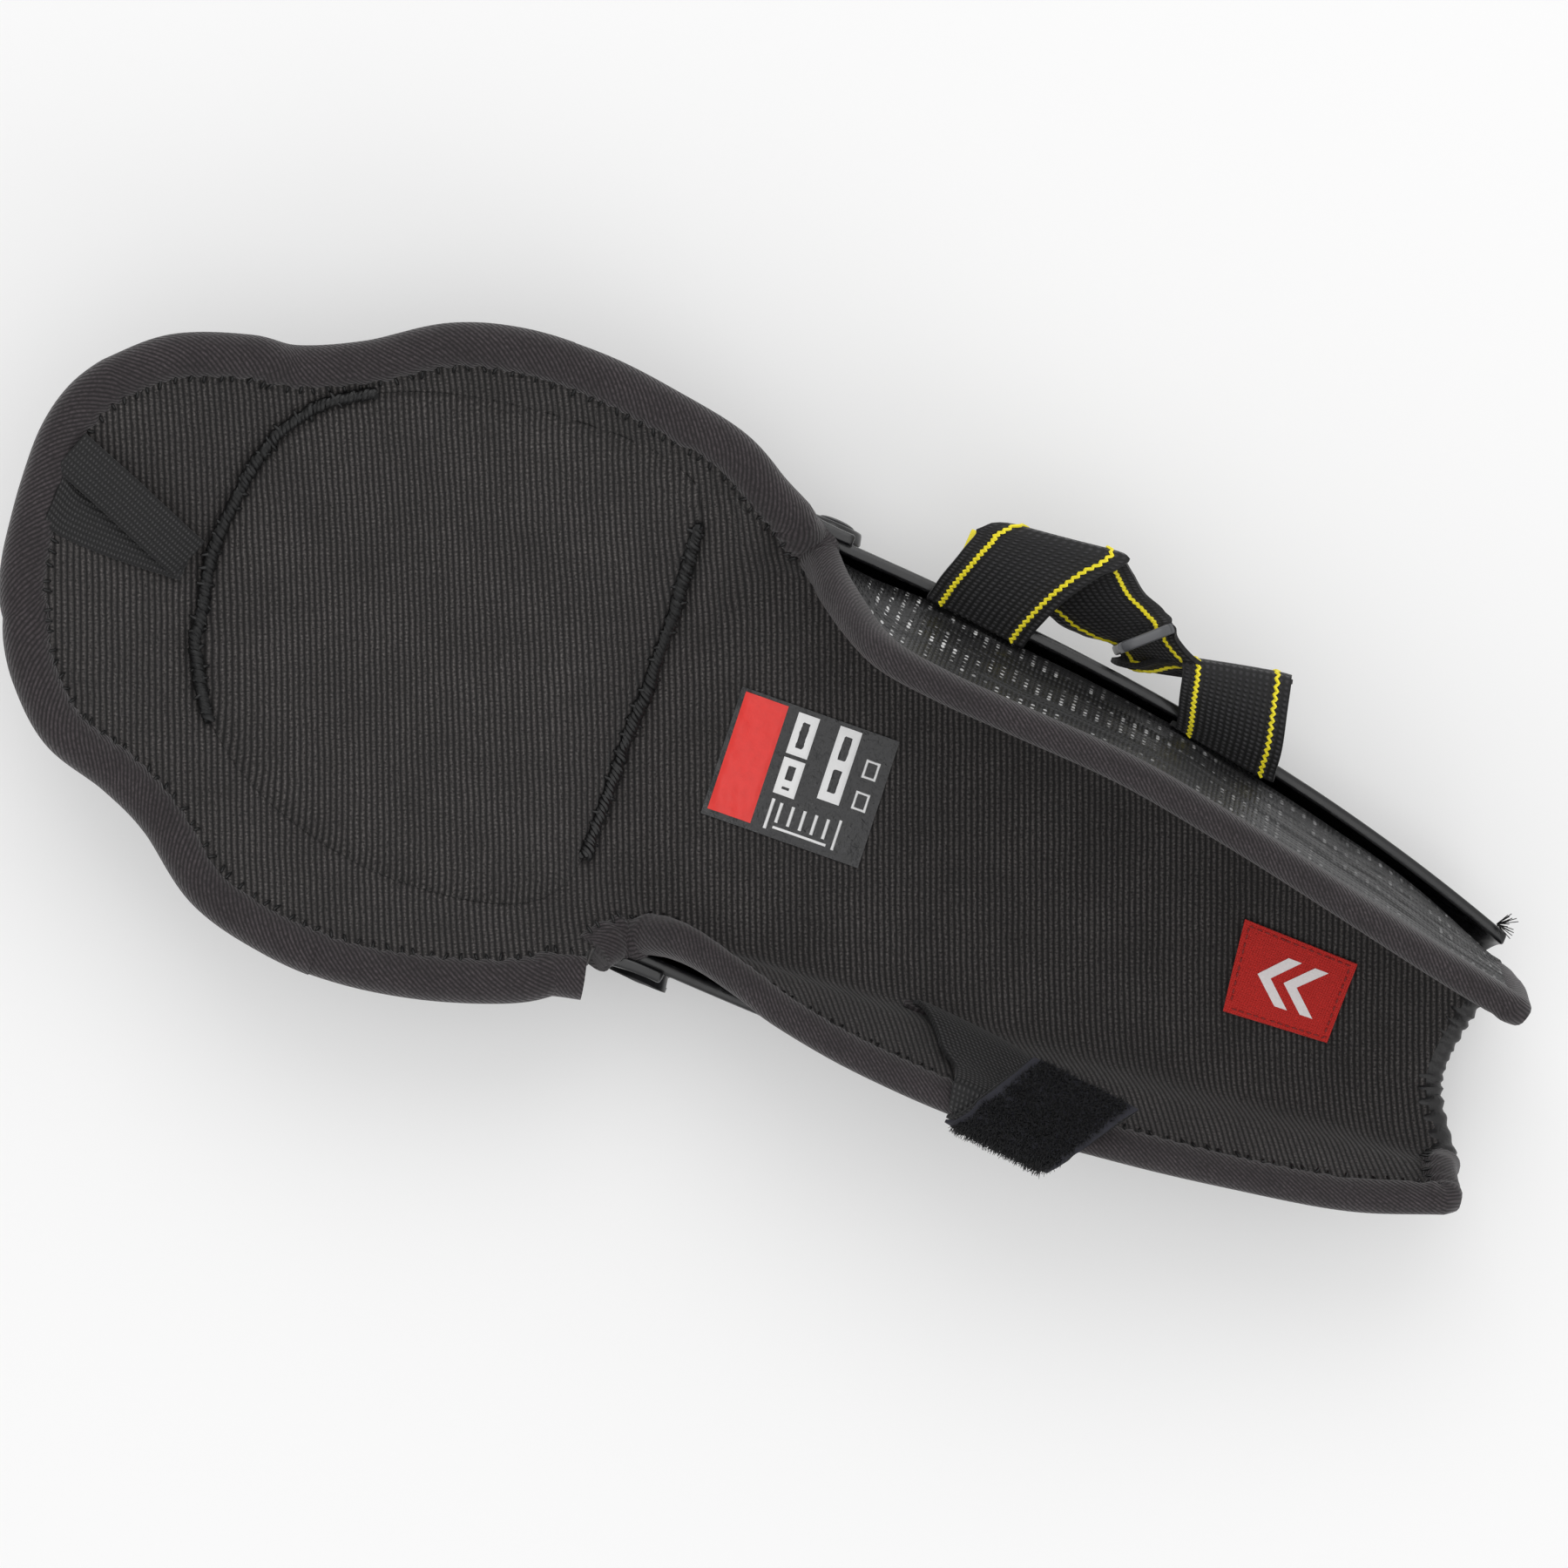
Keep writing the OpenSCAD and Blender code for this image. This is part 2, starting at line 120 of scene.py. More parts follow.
def wander(x, seed, wave):
    """Smooth repeatable noise in -1..1 along x, with bumps about one wave apart."""
    x = np.asarray(x, float) / wave + seed * 17.31
    i = np.floor(x)
    f = x - i
    f = f * f * (3 - 2 * f)
    h = lambda n: np.modf(np.abs(np.sin(n * 12.9898 + seed * 4.1414) * 43758.5453))[0] * 2 - 1
    return h(i) * (1 - f) + h(i + 1) * f


# ---------------------------------------------------------------- the guard's surfaces, in millimetres

def shin_w(x):
    return 56.5 - 23 * (np.maximum(x - 66, 0) / 196) ** 2.6


def shin_d(x):
    return 28.5 - 4 * np.maximum(x - 150, 0) / 100


def cap_w(x):
    x = np.asarray(x, float)
    return np.where(x < 20, 69 * np.sqrt(np.maximum(1 - ((20 - x) / 104) ** 2, 0)), 69 - 7.2 * ease(30, 68, x))


def cap_k(x):
    x = np.asarray(x, float)
    return np.where(x < 15, 1 + 35 * (1 - np.sqrt(np.maximum(1 - ((15 - x) / 84) ** 2, 0))), 1.0)


def cap_rim(x):
    return 36 - 9 * np.clip((40 - x) / 60, 0, 1)


def pad_mid(x):
    return -7.5 + 3.5 * np.clip(np.asarray(x, float) / 60, -1, 1)


def pad_w(x):
    x = np.asarray(x, float)
    thigh = 57 * np.sqrt(np.maximum(1 - np.minimum((-62 - x) / 51, 1) ** 2, 0.0004))
    knee = mix(57, 81, np.cos(np.pi / 2 * x / 62))
    return np.where(x > 0, 81 - 17 * (x / 60) ** 2, np.where(x > -62, knee, thigh))


def bowl_z(x):
    x = np.asarray(x, float)
    return np.where(x > 0, 25 - 3 * (x / 60) ** 2, np.where(x > -60, 25 + 9 * (x / 60) ** 2, 34 + 0.56 * (-60 - x)))


def bowl_h(x):
    x = np.asarray(x, float)
    return np.where(x > 0, 33 - 3 * (x / 60) ** 2,
                    np.where(x > -62, 20 + 13 * np.cos(np.pi / 2 * x / 62), 20 * (pad_w(x) / 57) ** 2))


def bowl_at(x, y):
    return bowl_z(x) + bowl_h(x) * ((y - pad_mid(x)) / pad_w(x)) ** 2


def hinge_y(x):
    return 47 - 0.119 * (x - 80)


# Lining at its rims and middle: left rim, middle, right rim; the knee's heights come from the bowl
KNEE_STATIONS = [
    ((-101, 20), (-105, -8.5), (-98, -38)),
    ((-88.5, 31.5), (-89.5, -9), (-89, -50)),
    ((-72, 38.5), (-74, -9.5), (-77, -59.5)),
    ((-61, 40.7), (-62, -10), (-61, -63.5)),
    ((-46, 48.5), (-47, -9.5), (-48, -69)),
    ((-30, 60), (-30, -9), (-31, -80)),
    ((-13.5, 65.7), (-13, -8.5), (-12, -83.7)),
    ((5, 67.5), (5, -7.5), (6, -83)),
    ((24, 66.3), (23, -6.5), (25, -78.5)),
    ((41, 64), (39, -5), (43, -71.5)),
    ((53, 58.8), (50, -4), (52, -65.5)),
]
KNEE_SPREAD = (1, 0.78, 0.42, 0, 0.42, 0.78, 1)
HEM = [(-100.5, 20.5), (-104.3, 12.5), (-105.8, 3), (-105, -8.5), (-103.6, -18), (-101.5, -28.5), (-97.5, -38.5)]
WAIST = [
    [(62.5, 55, 43), (62, 47, 34), (60, 33, 26), (60, -3, 21.5), (60, -33, 26), (59.5, -46, 33), (60, -57, 42)],
    [(70.5, 50.5, 35), (71, 46.5, 31), (71.5, 39, 26), (71.5, -2.5, 21), (71, -39, 26), (70, -45, 30), (68, -49.5, 34)],
]
# Wing rims and the middle of each wing, then the channel's middle
SHIN_STATIONS = [
    ((80, 43, 48), (80, 45.5, 37), (80, -2, 21), (79, -46.5, 36), (79, -47, 43)),
    ((94, 35.5, 66), (93, 42.5, 46), (93, -2, 21), (94, -45.5, 40), (95, -49.5, 54)),
    ((110, 33.5, 73), (109, 40.5, 50), (109, -2, 21), (108, -45, 43), (108, -52.5, 59)),
    ((130, 33.2, 76), (130, 39, 52), (130, -2, 21), (130, -43.5, 44), (130, -54.5, 62)),
    ((160, 32.8, 76), (160, 36.5, 52), (160, -2, 21), (160, -41.5, 44.5), (160, -54, 62)),
    ((190, 29.3, 74), (190, 32.8, 51), (190, -2.5, 21), (190, -37.5, 44), (190, -49.3, 60)),
    ((220, 24.8, 72), (220, 28.6, 50), (220, -3.5, 21), (220, -33, 43), (221, -43.8, 57)),
    ((247, 20.5, 69), (246, 24.8, 48), (243, -4.5, 21), (247, -28.2, 41), (249, -37.5, 54)),
    ((268, 17.6, 66), (264, 21.5, 47), (255, -4, 21), (267, -24, 39), (271, -29.5, 51)),
]


def stations():
    rows = []
    for rim_l, middle, rim_r in KNEE_STATIONS:
        row = []
        for k, t in enumerate(KNEE_SPREAD):
            rim = rim_l if k < 3 else rim_r
            x, y = mix(middle[0], rim[0], t), mix(middle[1], rim[1], t)
            row.append((x, y, float(bowl_at(x, y))))
        rows.append(row)
    rows[0] = [(x, y, float(bowl_at(x, y))) for x, y in HEM]
    rows += [list(r) for r in WAIST]
    for rim_l, mid_l, middle, mid_r, rim_r in SHIN_STATIONS:
        x = middle[0]
        end = max(x - 243, 0)
        fold = float(hinge_y(x)) - 5.5
        rows.append([rim_l, mid_l, (x + 0.25 * end, fold, 28), middle, (x + 0.95 * end, -fold, 28), mid_r, rim_r])
    rows = np.array(rows, float)
    middle = np.array(VIEW_CENTRE)
    nearer = (VIEW_HEIGHT - rows[..., 2:]) / (VIEW_HEIGHT - PLAN_HEIGHT)
    rows[..., :2] = middle + (rows[..., :2] - middle) * nearer
    return rows


STATIONS = stations()
LAST = len(STATIONS) - 1
WAIST_U = 12.0


def lining_point(u, v):
    """Point of the lining's face: u counts stations from the hem to the ankle, v runs 0..6 from rim to rim."""
    u, v = np.broadcast_arrays(np.asarray(u, float), np.asarray(v, float))
    shape = u.shape
    u, v = u.ravel(), np.clip(v.ravel(), 0, 6)
    rows = smooth_line(STATIONS.reshape(len(STATIONS), 21), u).reshape(-1, 7, 3)
    ext = np.concatenate([2 * rows[:, :1] - rows[:, 1:2], rows, 2 * rows[:, -1:] - rows[:, -2:-1]], 1)
    i = np.minimum(v.astype(int), 5)
    f = (v - i)[:, None]
    n = np.arange(len(u))
    a, b, c, d = ext[n, i], ext[n, i + 1], ext[n, i + 2], ext[n, i + 3]
    p = 0.5 * (2 * b + (c - a) * f + (2 * a - 5 * b + 4 * c - d) * f**2 + (3 * b - a - 3 * c + d) * f**3)
    return p.reshape(shape + (3,))


def lining_normal(u, v):
    e = 0.03
    u, v = np.asarray(u, float), np.asarray(v, float)
    du = lining_point(np.minimum(u + e, LAST), v) - lining_point(np.maximum(u - e, 0), v)
    dv = lining_point(u, np.minimum(v + e, 6)) - lining_point(u, np.maximum(v - e, 0))
    return unit(np.cross(dv, du))


TABLE_U = np.linspace(0, LAST, 20 * LAST + 1)
TABLE_V = np.linspace(0, 6, 121)
_grid = lining_point(TABLE_U[:, None], TABLE_V[None, :])
_arc = np.concatenate([np.zeros((len(TABLE_U), 1)),
                       np.cumsum(np.linalg.norm(np.diff(_grid, axis=1), axis=2), axis=1)], 1)
ARC = _arc[:, 60:61] - _arc


def across(u, v):
    """Distance over the cloth from the middle line, positive towards the left rim."""
    i, j = np.clip(u, 0, LAST) * 20, np.clip(v, 0, 6) * 20
    a, b = np.minimum(i.astype(int), 20 * LAST - 1), np.minimum(j.astype(int), 119)
    f, g = i - a, j - b
    return mix(mix(ARC[a, b], ARC[a + 1, b], f), mix(ARC[a, b + 1], ARC[a + 1, b + 1], f), g)


GRAIN = math.radians(23.7)


def cloth_uv(x, arc):
    """The knit's own directions: its ribs stand square to U."""
    c, s = math.cos(GRAIN), math.sin(GRAIN)
    return np.stack([c * x + s * arc, -s * x + c * arc], -1)


# ---------------------------------------------------------------- meshes

def finish_mesh(name, me, coords, uvs, mat, sharp=38):
    """Places a mesh's points and cloth directions, turns it outwards and gives it its object."""
    me.vertices.foreach_set("co", (np.asarray(coords, float) * MM).astype(np.float32).ravel())
    if uvs is not None:
        vertex = np.empty(len(me.loops), np.int32)
        me.loops.foreach_get("vertex_index", vertex)
        layer = me.uv_layers.get("cloth") or me.uv_layers.new(name="cloth")
        layer.data.foreach_set("uv", (uvs[vertex] * MM).astype(np.float32).ravel())
    me.update()
    me.name = name
    obj = bpy.data.objects.new(name, me)
    bpy.context.scene.collection.objects.link(obj)
    me.materials.append(mat)
    outward(me)
    me.shade_smooth()
    me.set_sharp_from_angle(angle=math.radians(sharp))
    return obj


def outward(me):
    """Turns a closed mesh's faces outwards."""
    me.calc_loop_triangles()
    tri = np.empty(len(me.loop_triangles) * 3, np.int32)
    me.loop_triangles.foreach_get("vertices", tri)
    co = np.empty(len(me.vertices) * 3, np.float32)
    me.vertices.foreach_get("co", co)
    p = co.reshape(-1, 3).astype(float)[tri.reshape(-1, 3)]
    if np.einsum("ij,ij->i", p[:, 0], np.cross(p[:, 1], p[:, 2])).sum() < 0:
        me.flip_normals()


def grid_bmesh(n, m):
    """Flat grid of n by m cells whose points know their place in 0..1 both ways, and their layer."""
    bm = bmesh.new()
    a, b, s = (bm.verts.layers.float.new(k) for k in "abs")
    bmesh.ops.create_grid(bm, x_segments=n, y_segments=m, size=0.5)
    for v in bm.verts:
        v[a], v[b], v[s] = v.co.x + 0.5, v.co.y + 0.5, 0
    return bm, (a, b, s)


def own_values(me):
    out = []
    for k in "abs":
        w = np.empty(len(me.vertices), np.float32)
        me.attributes[k].data.foreach_get("value", w)
        out.append(w.astype(float))
        me.attributes.remove(me.attributes[k])
    return out


def slab(name, n, m, place, mat, sharp=38):
    """Closed sheet with two faces: place(a, b, s) gives its points and cloth directions, s being 1 on top."""
    bm, layers = grid_bmesh(n, m)
    made = bmesh.ops.extrude_face_region(bm, geom=bm.faces[:])
    for v in made["geom"]:
        if isinstance(v, bmesh.types.BMVert):
            v[layers[2]] = 1
    me = bpy.data.meshes.new(name)
    bm.to_mesh(me)
    bm.free()
    coords, uvs = place(*own_values(me))
    return finish_mesh(name, me, coords, uvs, mat, sharp)


def rolled(name, n, m, place, mat, closed=False, sharp=50):
    """Tube: a grid rolled round its b direction, with its ends closed, or joined end to end if closed."""
    bm, _ = grid_bmesh(n, m)
    me = bpy.data.meshes.new(name)
    bm.to_mesh(me)
    bm.free()
    a, b, _ = own_values(me)
    coords, uvs = place(a, b)
    obj = finish_mesh(name, me, coords, uvs, mat, sharp)
    bm = bmesh.new()
    bm.from_mesh(me)
    bmesh.ops.remove_doubles(bm, verts=bm.verts, dist=1e-7)
    if not closed:
        bmesh.ops.holes_fill(bm, edges=[e for e in bm.edges if e.is_boundary], sides=0)
    bm.to_mesh(me)
    bm.free()
    outward(me)
    me.shade_smooth()
    me.set_sharp_from_angle(angle=math.radians(sharp))
    return obj


def frames(line, ups):
    """Direction, sideways and up at each point of a line, the side being to the right of up."""
    d = unit(np.gradient(line, axis=0))
    side = unit(np.cross(d, ups))
    return d, side, unit(np.cross(side, d))


def tube(name, line, radius, mat, ups=None, sides=10, shape=None, closed=False):
    """Round or shaped tube on a line. shape(a, turn) gives its sideways and upwards reach, in radii."""
    line = np.asarray(line, float)
    ups = np.tile([0.13, 0.21, 0.97], (len(line), 1)) if ups is None else ups
    d, side, up = frames(line, ups)
    if closed:
        line = np.vstack([line[:-1], line[:1]])
        side[-1], up[-1] = side[0], up[0]
    run = run_of(line)

    def place(a, b):
        i = np.clip(np.round(a * (len(line) - 1)).astype(int), 0, len(line) - 1)
        turn = np.where(b > 0.9999, 0, b) * 2 * np.pi
        p, q = (np.cos(turn), np.sin(turn)) if shape is None else shape(run[i], turn)
        coords = line[i] + radius * (p[:, None] * side[i] + q[:, None] * up[i])
        return coords, np.stack([run[i], b * 2 * np.pi * radius], 1)

    return rolled(name, len(line) - 1, sides, place, mat, closed)


def tape_frame(line, wide):
    """A tape's way across and its way up, the first lengthened where it stands slanting to the line."""
    skew = np.cross(unit(np.gradient(line, axis=0)), wide)
    return wide / np.maximum(np.linalg.norm(skew, axis=1, keepdims=True), LEAST_SLANT), unit(skew)


def ribbon(name, line, wide, width, thick, mat, cells=6, bow=0.0):
    """Flat tape on a line, with the direction of its width at each point and a slight crown."""
    line, wide = np.asarray(line, float), unit(wide)
    wide, up = tape_frame(line, wide)
    run = run_of(line)

    def place(a, b, s):
        i = np.clip(np.round(a * (len(line) - 1)).astype(int), 0, len(line) - 1)
        t = b * 2 - 1
        edge = 1 - 0.35 * np.abs(t) ** 8
        h = (s * 2 - 1) * thick / 2 * edge + bow * (1 - t * t)
        coords = line[i] + (t * width / 2)[:, None] * wide[i] + h[:, None] * up[i]
        return coords, np.stack([run[i], t * width / 2], 1)

    return slab(name, len(line) - 1, cells, place, mat, 60)


def own(obj, slot, body, *nodes):
    """Hides the nodes a piece stands for and puts it on the body it moves with; slot, the finish it would take, is not
    used.
    """
    if nodes:
        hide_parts(*nodes)
    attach(obj, body)


def join(name, objs):
    """One piece out of several."""
    first = objs[0]
    with bpy.context.temp_override(active_object=first, selected_editable_objects=objs, selected_objects=objs):
        bpy.ops.object.join()
    first.name = first.data.name = name
    return first


def box_bmesh(bm, centre, size, bevel=0.0):
    """Bevelled block, in millimetres, added to a bmesh."""
    made = bmesh.ops.create_cube(bm, size=1)["verts"]
    for v in made:
        v.co = Vector([c + s * k for c, s, k in zip(centre, size, v.co)])
    if bevel:
        edges = list({e for v in made for e in v.link_edges})
        bmesh.ops.bevel(bm, geom=edges, offset=bevel, affect="EDGES", segments=2, profile=0.5, material=-1)


def from_bmesh(name, bm, mat, sharp=35):
    """Object from a bmesh in millimetres."""
    bmesh.ops.scale(bm, vec=(MM, MM, MM), verts=bm.verts)
    bmesh.ops.recalc_face_normals(bm, faces=bm.faces)
    me = bpy.data.meshes.new(name)
    bm.to_mesh(me)
    bm.free()
    me.materials.append(mat)
    me.shade_smooth()
    me.set_sharp_from_angle(angle=math.radians(sharp))
    obj = bpy.data.objects.new(name, me)
    bpy.context.scene.collection.objects.link(obj)
    return obj


# ---------------------------------------------------------------- materials

def shade(r, g, b):
    """A colour on the display's scale of 0..255, as the shader takes it."""
    return tuple((c / 255 / 12.92) if c <= 10 else ((c / 255 + 0.055) / 1.055) ** 2.4 for c in (r, g, b)) + (1,)


def toned(colour, factor):
    """A colour made darker or brighter."""
    return tuple(min(c * factor, 1) for c in colour[:3]) + (1,)


def put(tree, kind, out=0, settings=None, **inputs):
    """Adds a shader node; an input is a value or another node's output, and iN is the input with that number."""
    node = tree.nodes.new("ShaderNode" + kind)
    for k, v in (settings or {}).items():
        setattr(node, k, v)
    for k, v in inputs.items():
        numbered = k[0] == "i" and k[1:].isdigit()
        socket = node.inputs[int(k[1:]) if numbered else k.replace("_", " ")]
        if isinstance(v, bpy.types.NodeSocket):
            tree.links.new(v, socket)
        else:
            socket.default_value = v
    return node.outputs[out]


def plain(name, colour, rough, metal=0.0, sheen=0.0, coat=0.0, spec=0.5):
    """Start of a material: its shader with the values that are the same all over."""
    mat = bpy.data.materials.get(name)
    if mat:
        return mat, None, None
    mat = bpy.data.materials.new(name)
    mat.use_nodes = True
    mat.diffuse_color = colour
    shader = mat.node_tree.nodes["Principled BSDF"]
    for k, v in (("Base Color", colour), ("Roughness", rough), ("Metallic", metal), ("Sheen Weight", sheen),
                 ("Coat Weight", coat), ("Specular IOR Level", spec)):
        shader.inputs[k].default_value = v
    return mat, mat.node_tree, shader


def wave(tree, vector, period, axis="X", warp=0.0, detail=0.0, detail_scale=1.0):
    """Sine bands square to an axis, one every period in metres."""
    return put(tree, "TexWave", 1, {"bands_direction": axis}, Vector=vector, Scale=math.pi / 10 / period,
               Distortion=warp, Detail=detail, Detail_Scale=detail_scale)


def noise(tree, vector, size, detail=2.0, rough=0.5):
    return put(tree, "TexNoise", 0, None, Vector=vector, Scale=1 / size, Detail=detail, Roughness=rough)


def plus(tree, a, b):
    return put(tree, "Math", 0, {"operation": "ADD"}, i0=a, i1=b)


def times(tree, first, *others):
    for value in others:
        first = put(tree, "Math", 0, {"operation": "MULTIPLY"}, i0=first, i1=value)
    return first


def spread(tree, value, low, high, to_low=0.0, to_high=1.0):
    return put(tree, "MapRange", 0, {"clamp": True}, i0=value, i1=low, i2=high, i3=to_low, i4=to_high)


def blend_colour(tree, factor, a, b):
    return put(tree, "Mix", 2, {"data_type": "RGBA"}, i0=factor, i6=a, i7=b)


def cloth_place(tree):
    return put(tree, "UVMap", 0, {"uv_map": "cloth"})


def paint(tree, shader, factor, low, high):
    """Colours a shader from one tone to another."""
    tree.links.new(blend_colour(tree, factor, low, high), shader.inputs["Base Color"])


def bump(tree, shader, height, depth, strength=1.0):
    out = put(tree, "Bump", 0, None, Height=height, Distance=depth, Strength=strength)
    tree.links.new(out, shader.inputs["Normal"])


def knit_material(name, dark, light, period=0.00142, sheen=0.1, depth=0.0004):
    """Brushed rib knit: dark furrows and paler speckled ribs; the furrows' dark is partly painted shade and the ribs'
    pale partly painted light.
    """
    mat, tree, shader = plain(name, dark, 0.86, sheen=sheen, spec=0.25)
    if tree:
        uv = cloth_place(tree)
        # Rib bands: the dark between the ribs is partly painted shade, the pale on their tops partly painted light
        ribs = wave(tree, uv, period, "X", 1.2, 2.0, 0.6)
        stitch = wave(tree, uv, period * 0.8, "Y", 6.0, 2.0, 2.5)
        fleck = noise(tree, uv, 0.00055, 3, 0.7)
        patch = noise(tree, uv, 0.018, 3, 0.6)
        lit = times(tree, ribs, spread(tree, fleck, 0.36, 0.66, 0.1, 1.15), spread(tree, stitch, 0.1, 0.9, 0.62, 1.0),
                    spread(tree, patch, 0.3, 0.7, 0.72, 1.12))
        paint(tree, shader, lit, dark, light)
        height = plus(tree, ribs, times(tree, fleck, 0.5))
        bump(tree, shader, height, depth, 0.8)
    return mat


def twill_material(name, dark, light, period=0.0007):
    """Fine twill tape: close diagonal lines under a soft nap."""
    mat, tree, shader = plain(name, dark, 0.8, sheen=0.2, spec=0.25)
    if tree:
        uv = cloth_place(tree)
        lines = wave(tree, uv, period, "DIAGONAL", 0.8, 1.0, 2.0)
        fleck = noise(tree, uv, 0.0009, 3, 0.6)
        patch = noise(tree, uv, 0.012, 2, 0.5)
        lit = times(tree, lines, spread(tree, fleck, 0.35, 0.7, 0.2, 1.0), spread(tree, patch, 0.3, 0.7, 0.7, 1.15))
        paint(tree, shader, lit, dark, light)
        bump(tree, shader, plus(tree, lines, fleck), 0.00018, 0.7)
    return mat


def webbing_material(name, dark, light, across_rib=0.0011, along_rib=0.0016):
    """Coarse woven tape."""
    mat, tree, shader = plain(name, dark, 0.62, sheen=0.1, spec=0.35)
    if tree:
        uv = cloth_place(tree)
        weft = wave(tree, uv, across_rib, "X", 0.5, 1.0, 2.0)
        warp = wave(tree, uv, along_rib, "Y", 0.3, 1.0, 2.0)
        weave = times(tree, weft, warp)
        fleck = noise(tree, uv, 0.0006, 2, 0.6)
        lit = times(tree, weave, spread(tree, fleck, 0.3, 0.7, 0.3, 1.0))
        paint(tree, shader, lit, dark, light)
        bump(tree, shader, weave, 0.0004, 0.8)
    return mat


def mesh_material(name):
    """Black open mesh with rows of small pale dots where the lining shows through."""
    mat, tree, shader = plain(name, shade(16, 16, 17), 0.42, sheen=0.05, spec=0.5)
    if tree:
        uv = cloth_place(tree)
        rows = wave(tree, uv, 0.0031, "X")
        cols = wave(tree, uv, 0.0026, "Y")
        dots = spread(tree, times(tree, rows, cols), 0.72, 0.86)
        patch = noise(tree, uv, 0.011, 2, 0.5)
        far = put(tree, "SeparateXYZ", 0, None, Vector=uv)
        where = times(tree, spread(tree, patch, 0.42, 0.56), spread(tree, far, 0.1, 0.2, 1.0, 0.22))
        dots = times(tree, dots, where)
        fine = times(tree, wave(tree, uv, 0.0012, "X", 0.4), wave(tree, uv, 0.0012, "Y", 0.4))
        base = blend_colour(tree, fine, shade(7, 7, 8), shade(40, 40, 42))
        paint(tree, shader, dots, base, shade(215, 215, 215))
        bump(tree, shader, fine, 0.0003, 0.7)
    return mat


def shell_material(name, colour, rough):
    """Moulded plastic with a fine grain and faint scuffs."""
    mat, tree, shader = plain(name, colour, rough, coat=0.15)
    if tree:
        at = put(tree, "TexCoord", 3)
        scuff = noise(tree, at, 0.03, 4, 0.65)
        tree.links.new(spread(tree, scuff, 0.35, 0.7, rough * 0.8, rough * 1.5), shader.inputs["Roughness"])
        bump(tree, shader, noise(tree, at, 0.0012, 2, 0.5), 0.00012, 0.35)
    return mat


def speckled(name, colour, rough, size=0.0008, change=0.25, depth=0.0001, metal=0.0, sheen=0.0):
    """A plain finish whose colour and surface vary a little."""
    mat, tree, shader = plain(name, colour, rough, metal=metal, sheen=sheen)
    if tree:
        at = put(tree, "TexCoord", 3)
        grain = noise(tree, at, size, 3, 0.6)
        low, high = toned(colour, 1 - change), toned(colour, 1 + change)
        paint(tree, shader, grain, low, high)
        bump(tree, shader, grain, depth, 0.6)
    return mat


# ---------------------------------------------------------------- sizes and colours that a user would change

def distance(name, description, default, low, high):
    return bpy.props.FloatProperty(name=name, description=description, default=default, min=low, max=high,
                                   subtype="DISTANCE", unit="LENGTH")


def tone(name, description, red, green, blue):
    return bpy.props.FloatVectorProperty(name=name, description=description, default=shade(red, green, blue), size=4,
                                         min=0, max=1, subtype="COLOR")


class ShinGuardSizes(bpy.types.PropertyGroup):
    """Sizes of the guard's soft parts"""

    lining_thickness: distance("Lining thickness", "Thickness of the padded lining", 0.0056, 0.003, 0.008)
    binding_radius: distance("Binding radius", "Half the width of the rolled edge binding", 0.0053, 0.004, 0.006)
    pillow_height: distance("Knee pillow height", "Height of the pillow over its seam", 0.0052, 0.002, 0.008)
    pillow_swell: distance("Knee pillow swell", "How far the filling may push the pillow out", 0.0035, 0.0, 0.006)
    strap_width: distance("Strap width", "Width of the elastic strap and the closure", 0.026, 0.02, 0.03)
    thread_radius: distance("Thread radius", "Half the thickness of the zigzag thread", 0.00042, 0.0002, 0.0008)


class ShinGuardColours(bpy.types.PropertyGroup):
    """Colours of the guard's finishes"""

    # The furrow tone is partly painted shade between the ribs, the rib tone partly painted light on their tops
    lining_furrow_shade: tone("Lining furrow", "Darker tone between the lining's ribs", 25, 24, 24)
    lining_rib_light: tone("Lining rib", "Paler tone of the lining's ribs", 100, 96, 95)
    binding: tone("Binding", "Main tone of the edge binding", 80, 73, 76)
    shell: tone("Shell", "Colour of the moulded plates", 17, 17, 19)
    accent: tone("Accent", "Colour of the zigzag thread and the side tab", 246, 226, 20)
    label: tone("Label", "Colour of the label's panel and the badge", 226, 42, 34)


def sizes():
    return bpy.context.scene.shin_guard_sizes


def colours():
    return bpy.context.scene.shin_guard_colours


def lining_knit():
    c = colours()
    return knit_material("lining knit", tuple(c.lining_furrow_shade), tuple(c.lining_rib_light))


def binding_twill():
    c = tuple(colours().binding)
    return twill_material("binding twill", toned(c, 0.16), c)


def black_thread():
    return speckled("black thread", shade(9, 9, 10), 0.45, 0.0006, 0.5, 0.0002)


def accent_thread():
    return speckled("accent thread", tuple(colours().accent), 0.5, 0.0005, 0.15, 0.0001, sheen=0.2)


def black_plastic():
    return shell_material("black moulded plastic", tuple(colours().shell), 0.26)


# ---------------------------------------------------------------- lining, covers and bindings

KNEE_SPLIT, FOLD_L, FOLD_R = 6.6, 2.0, 4.0


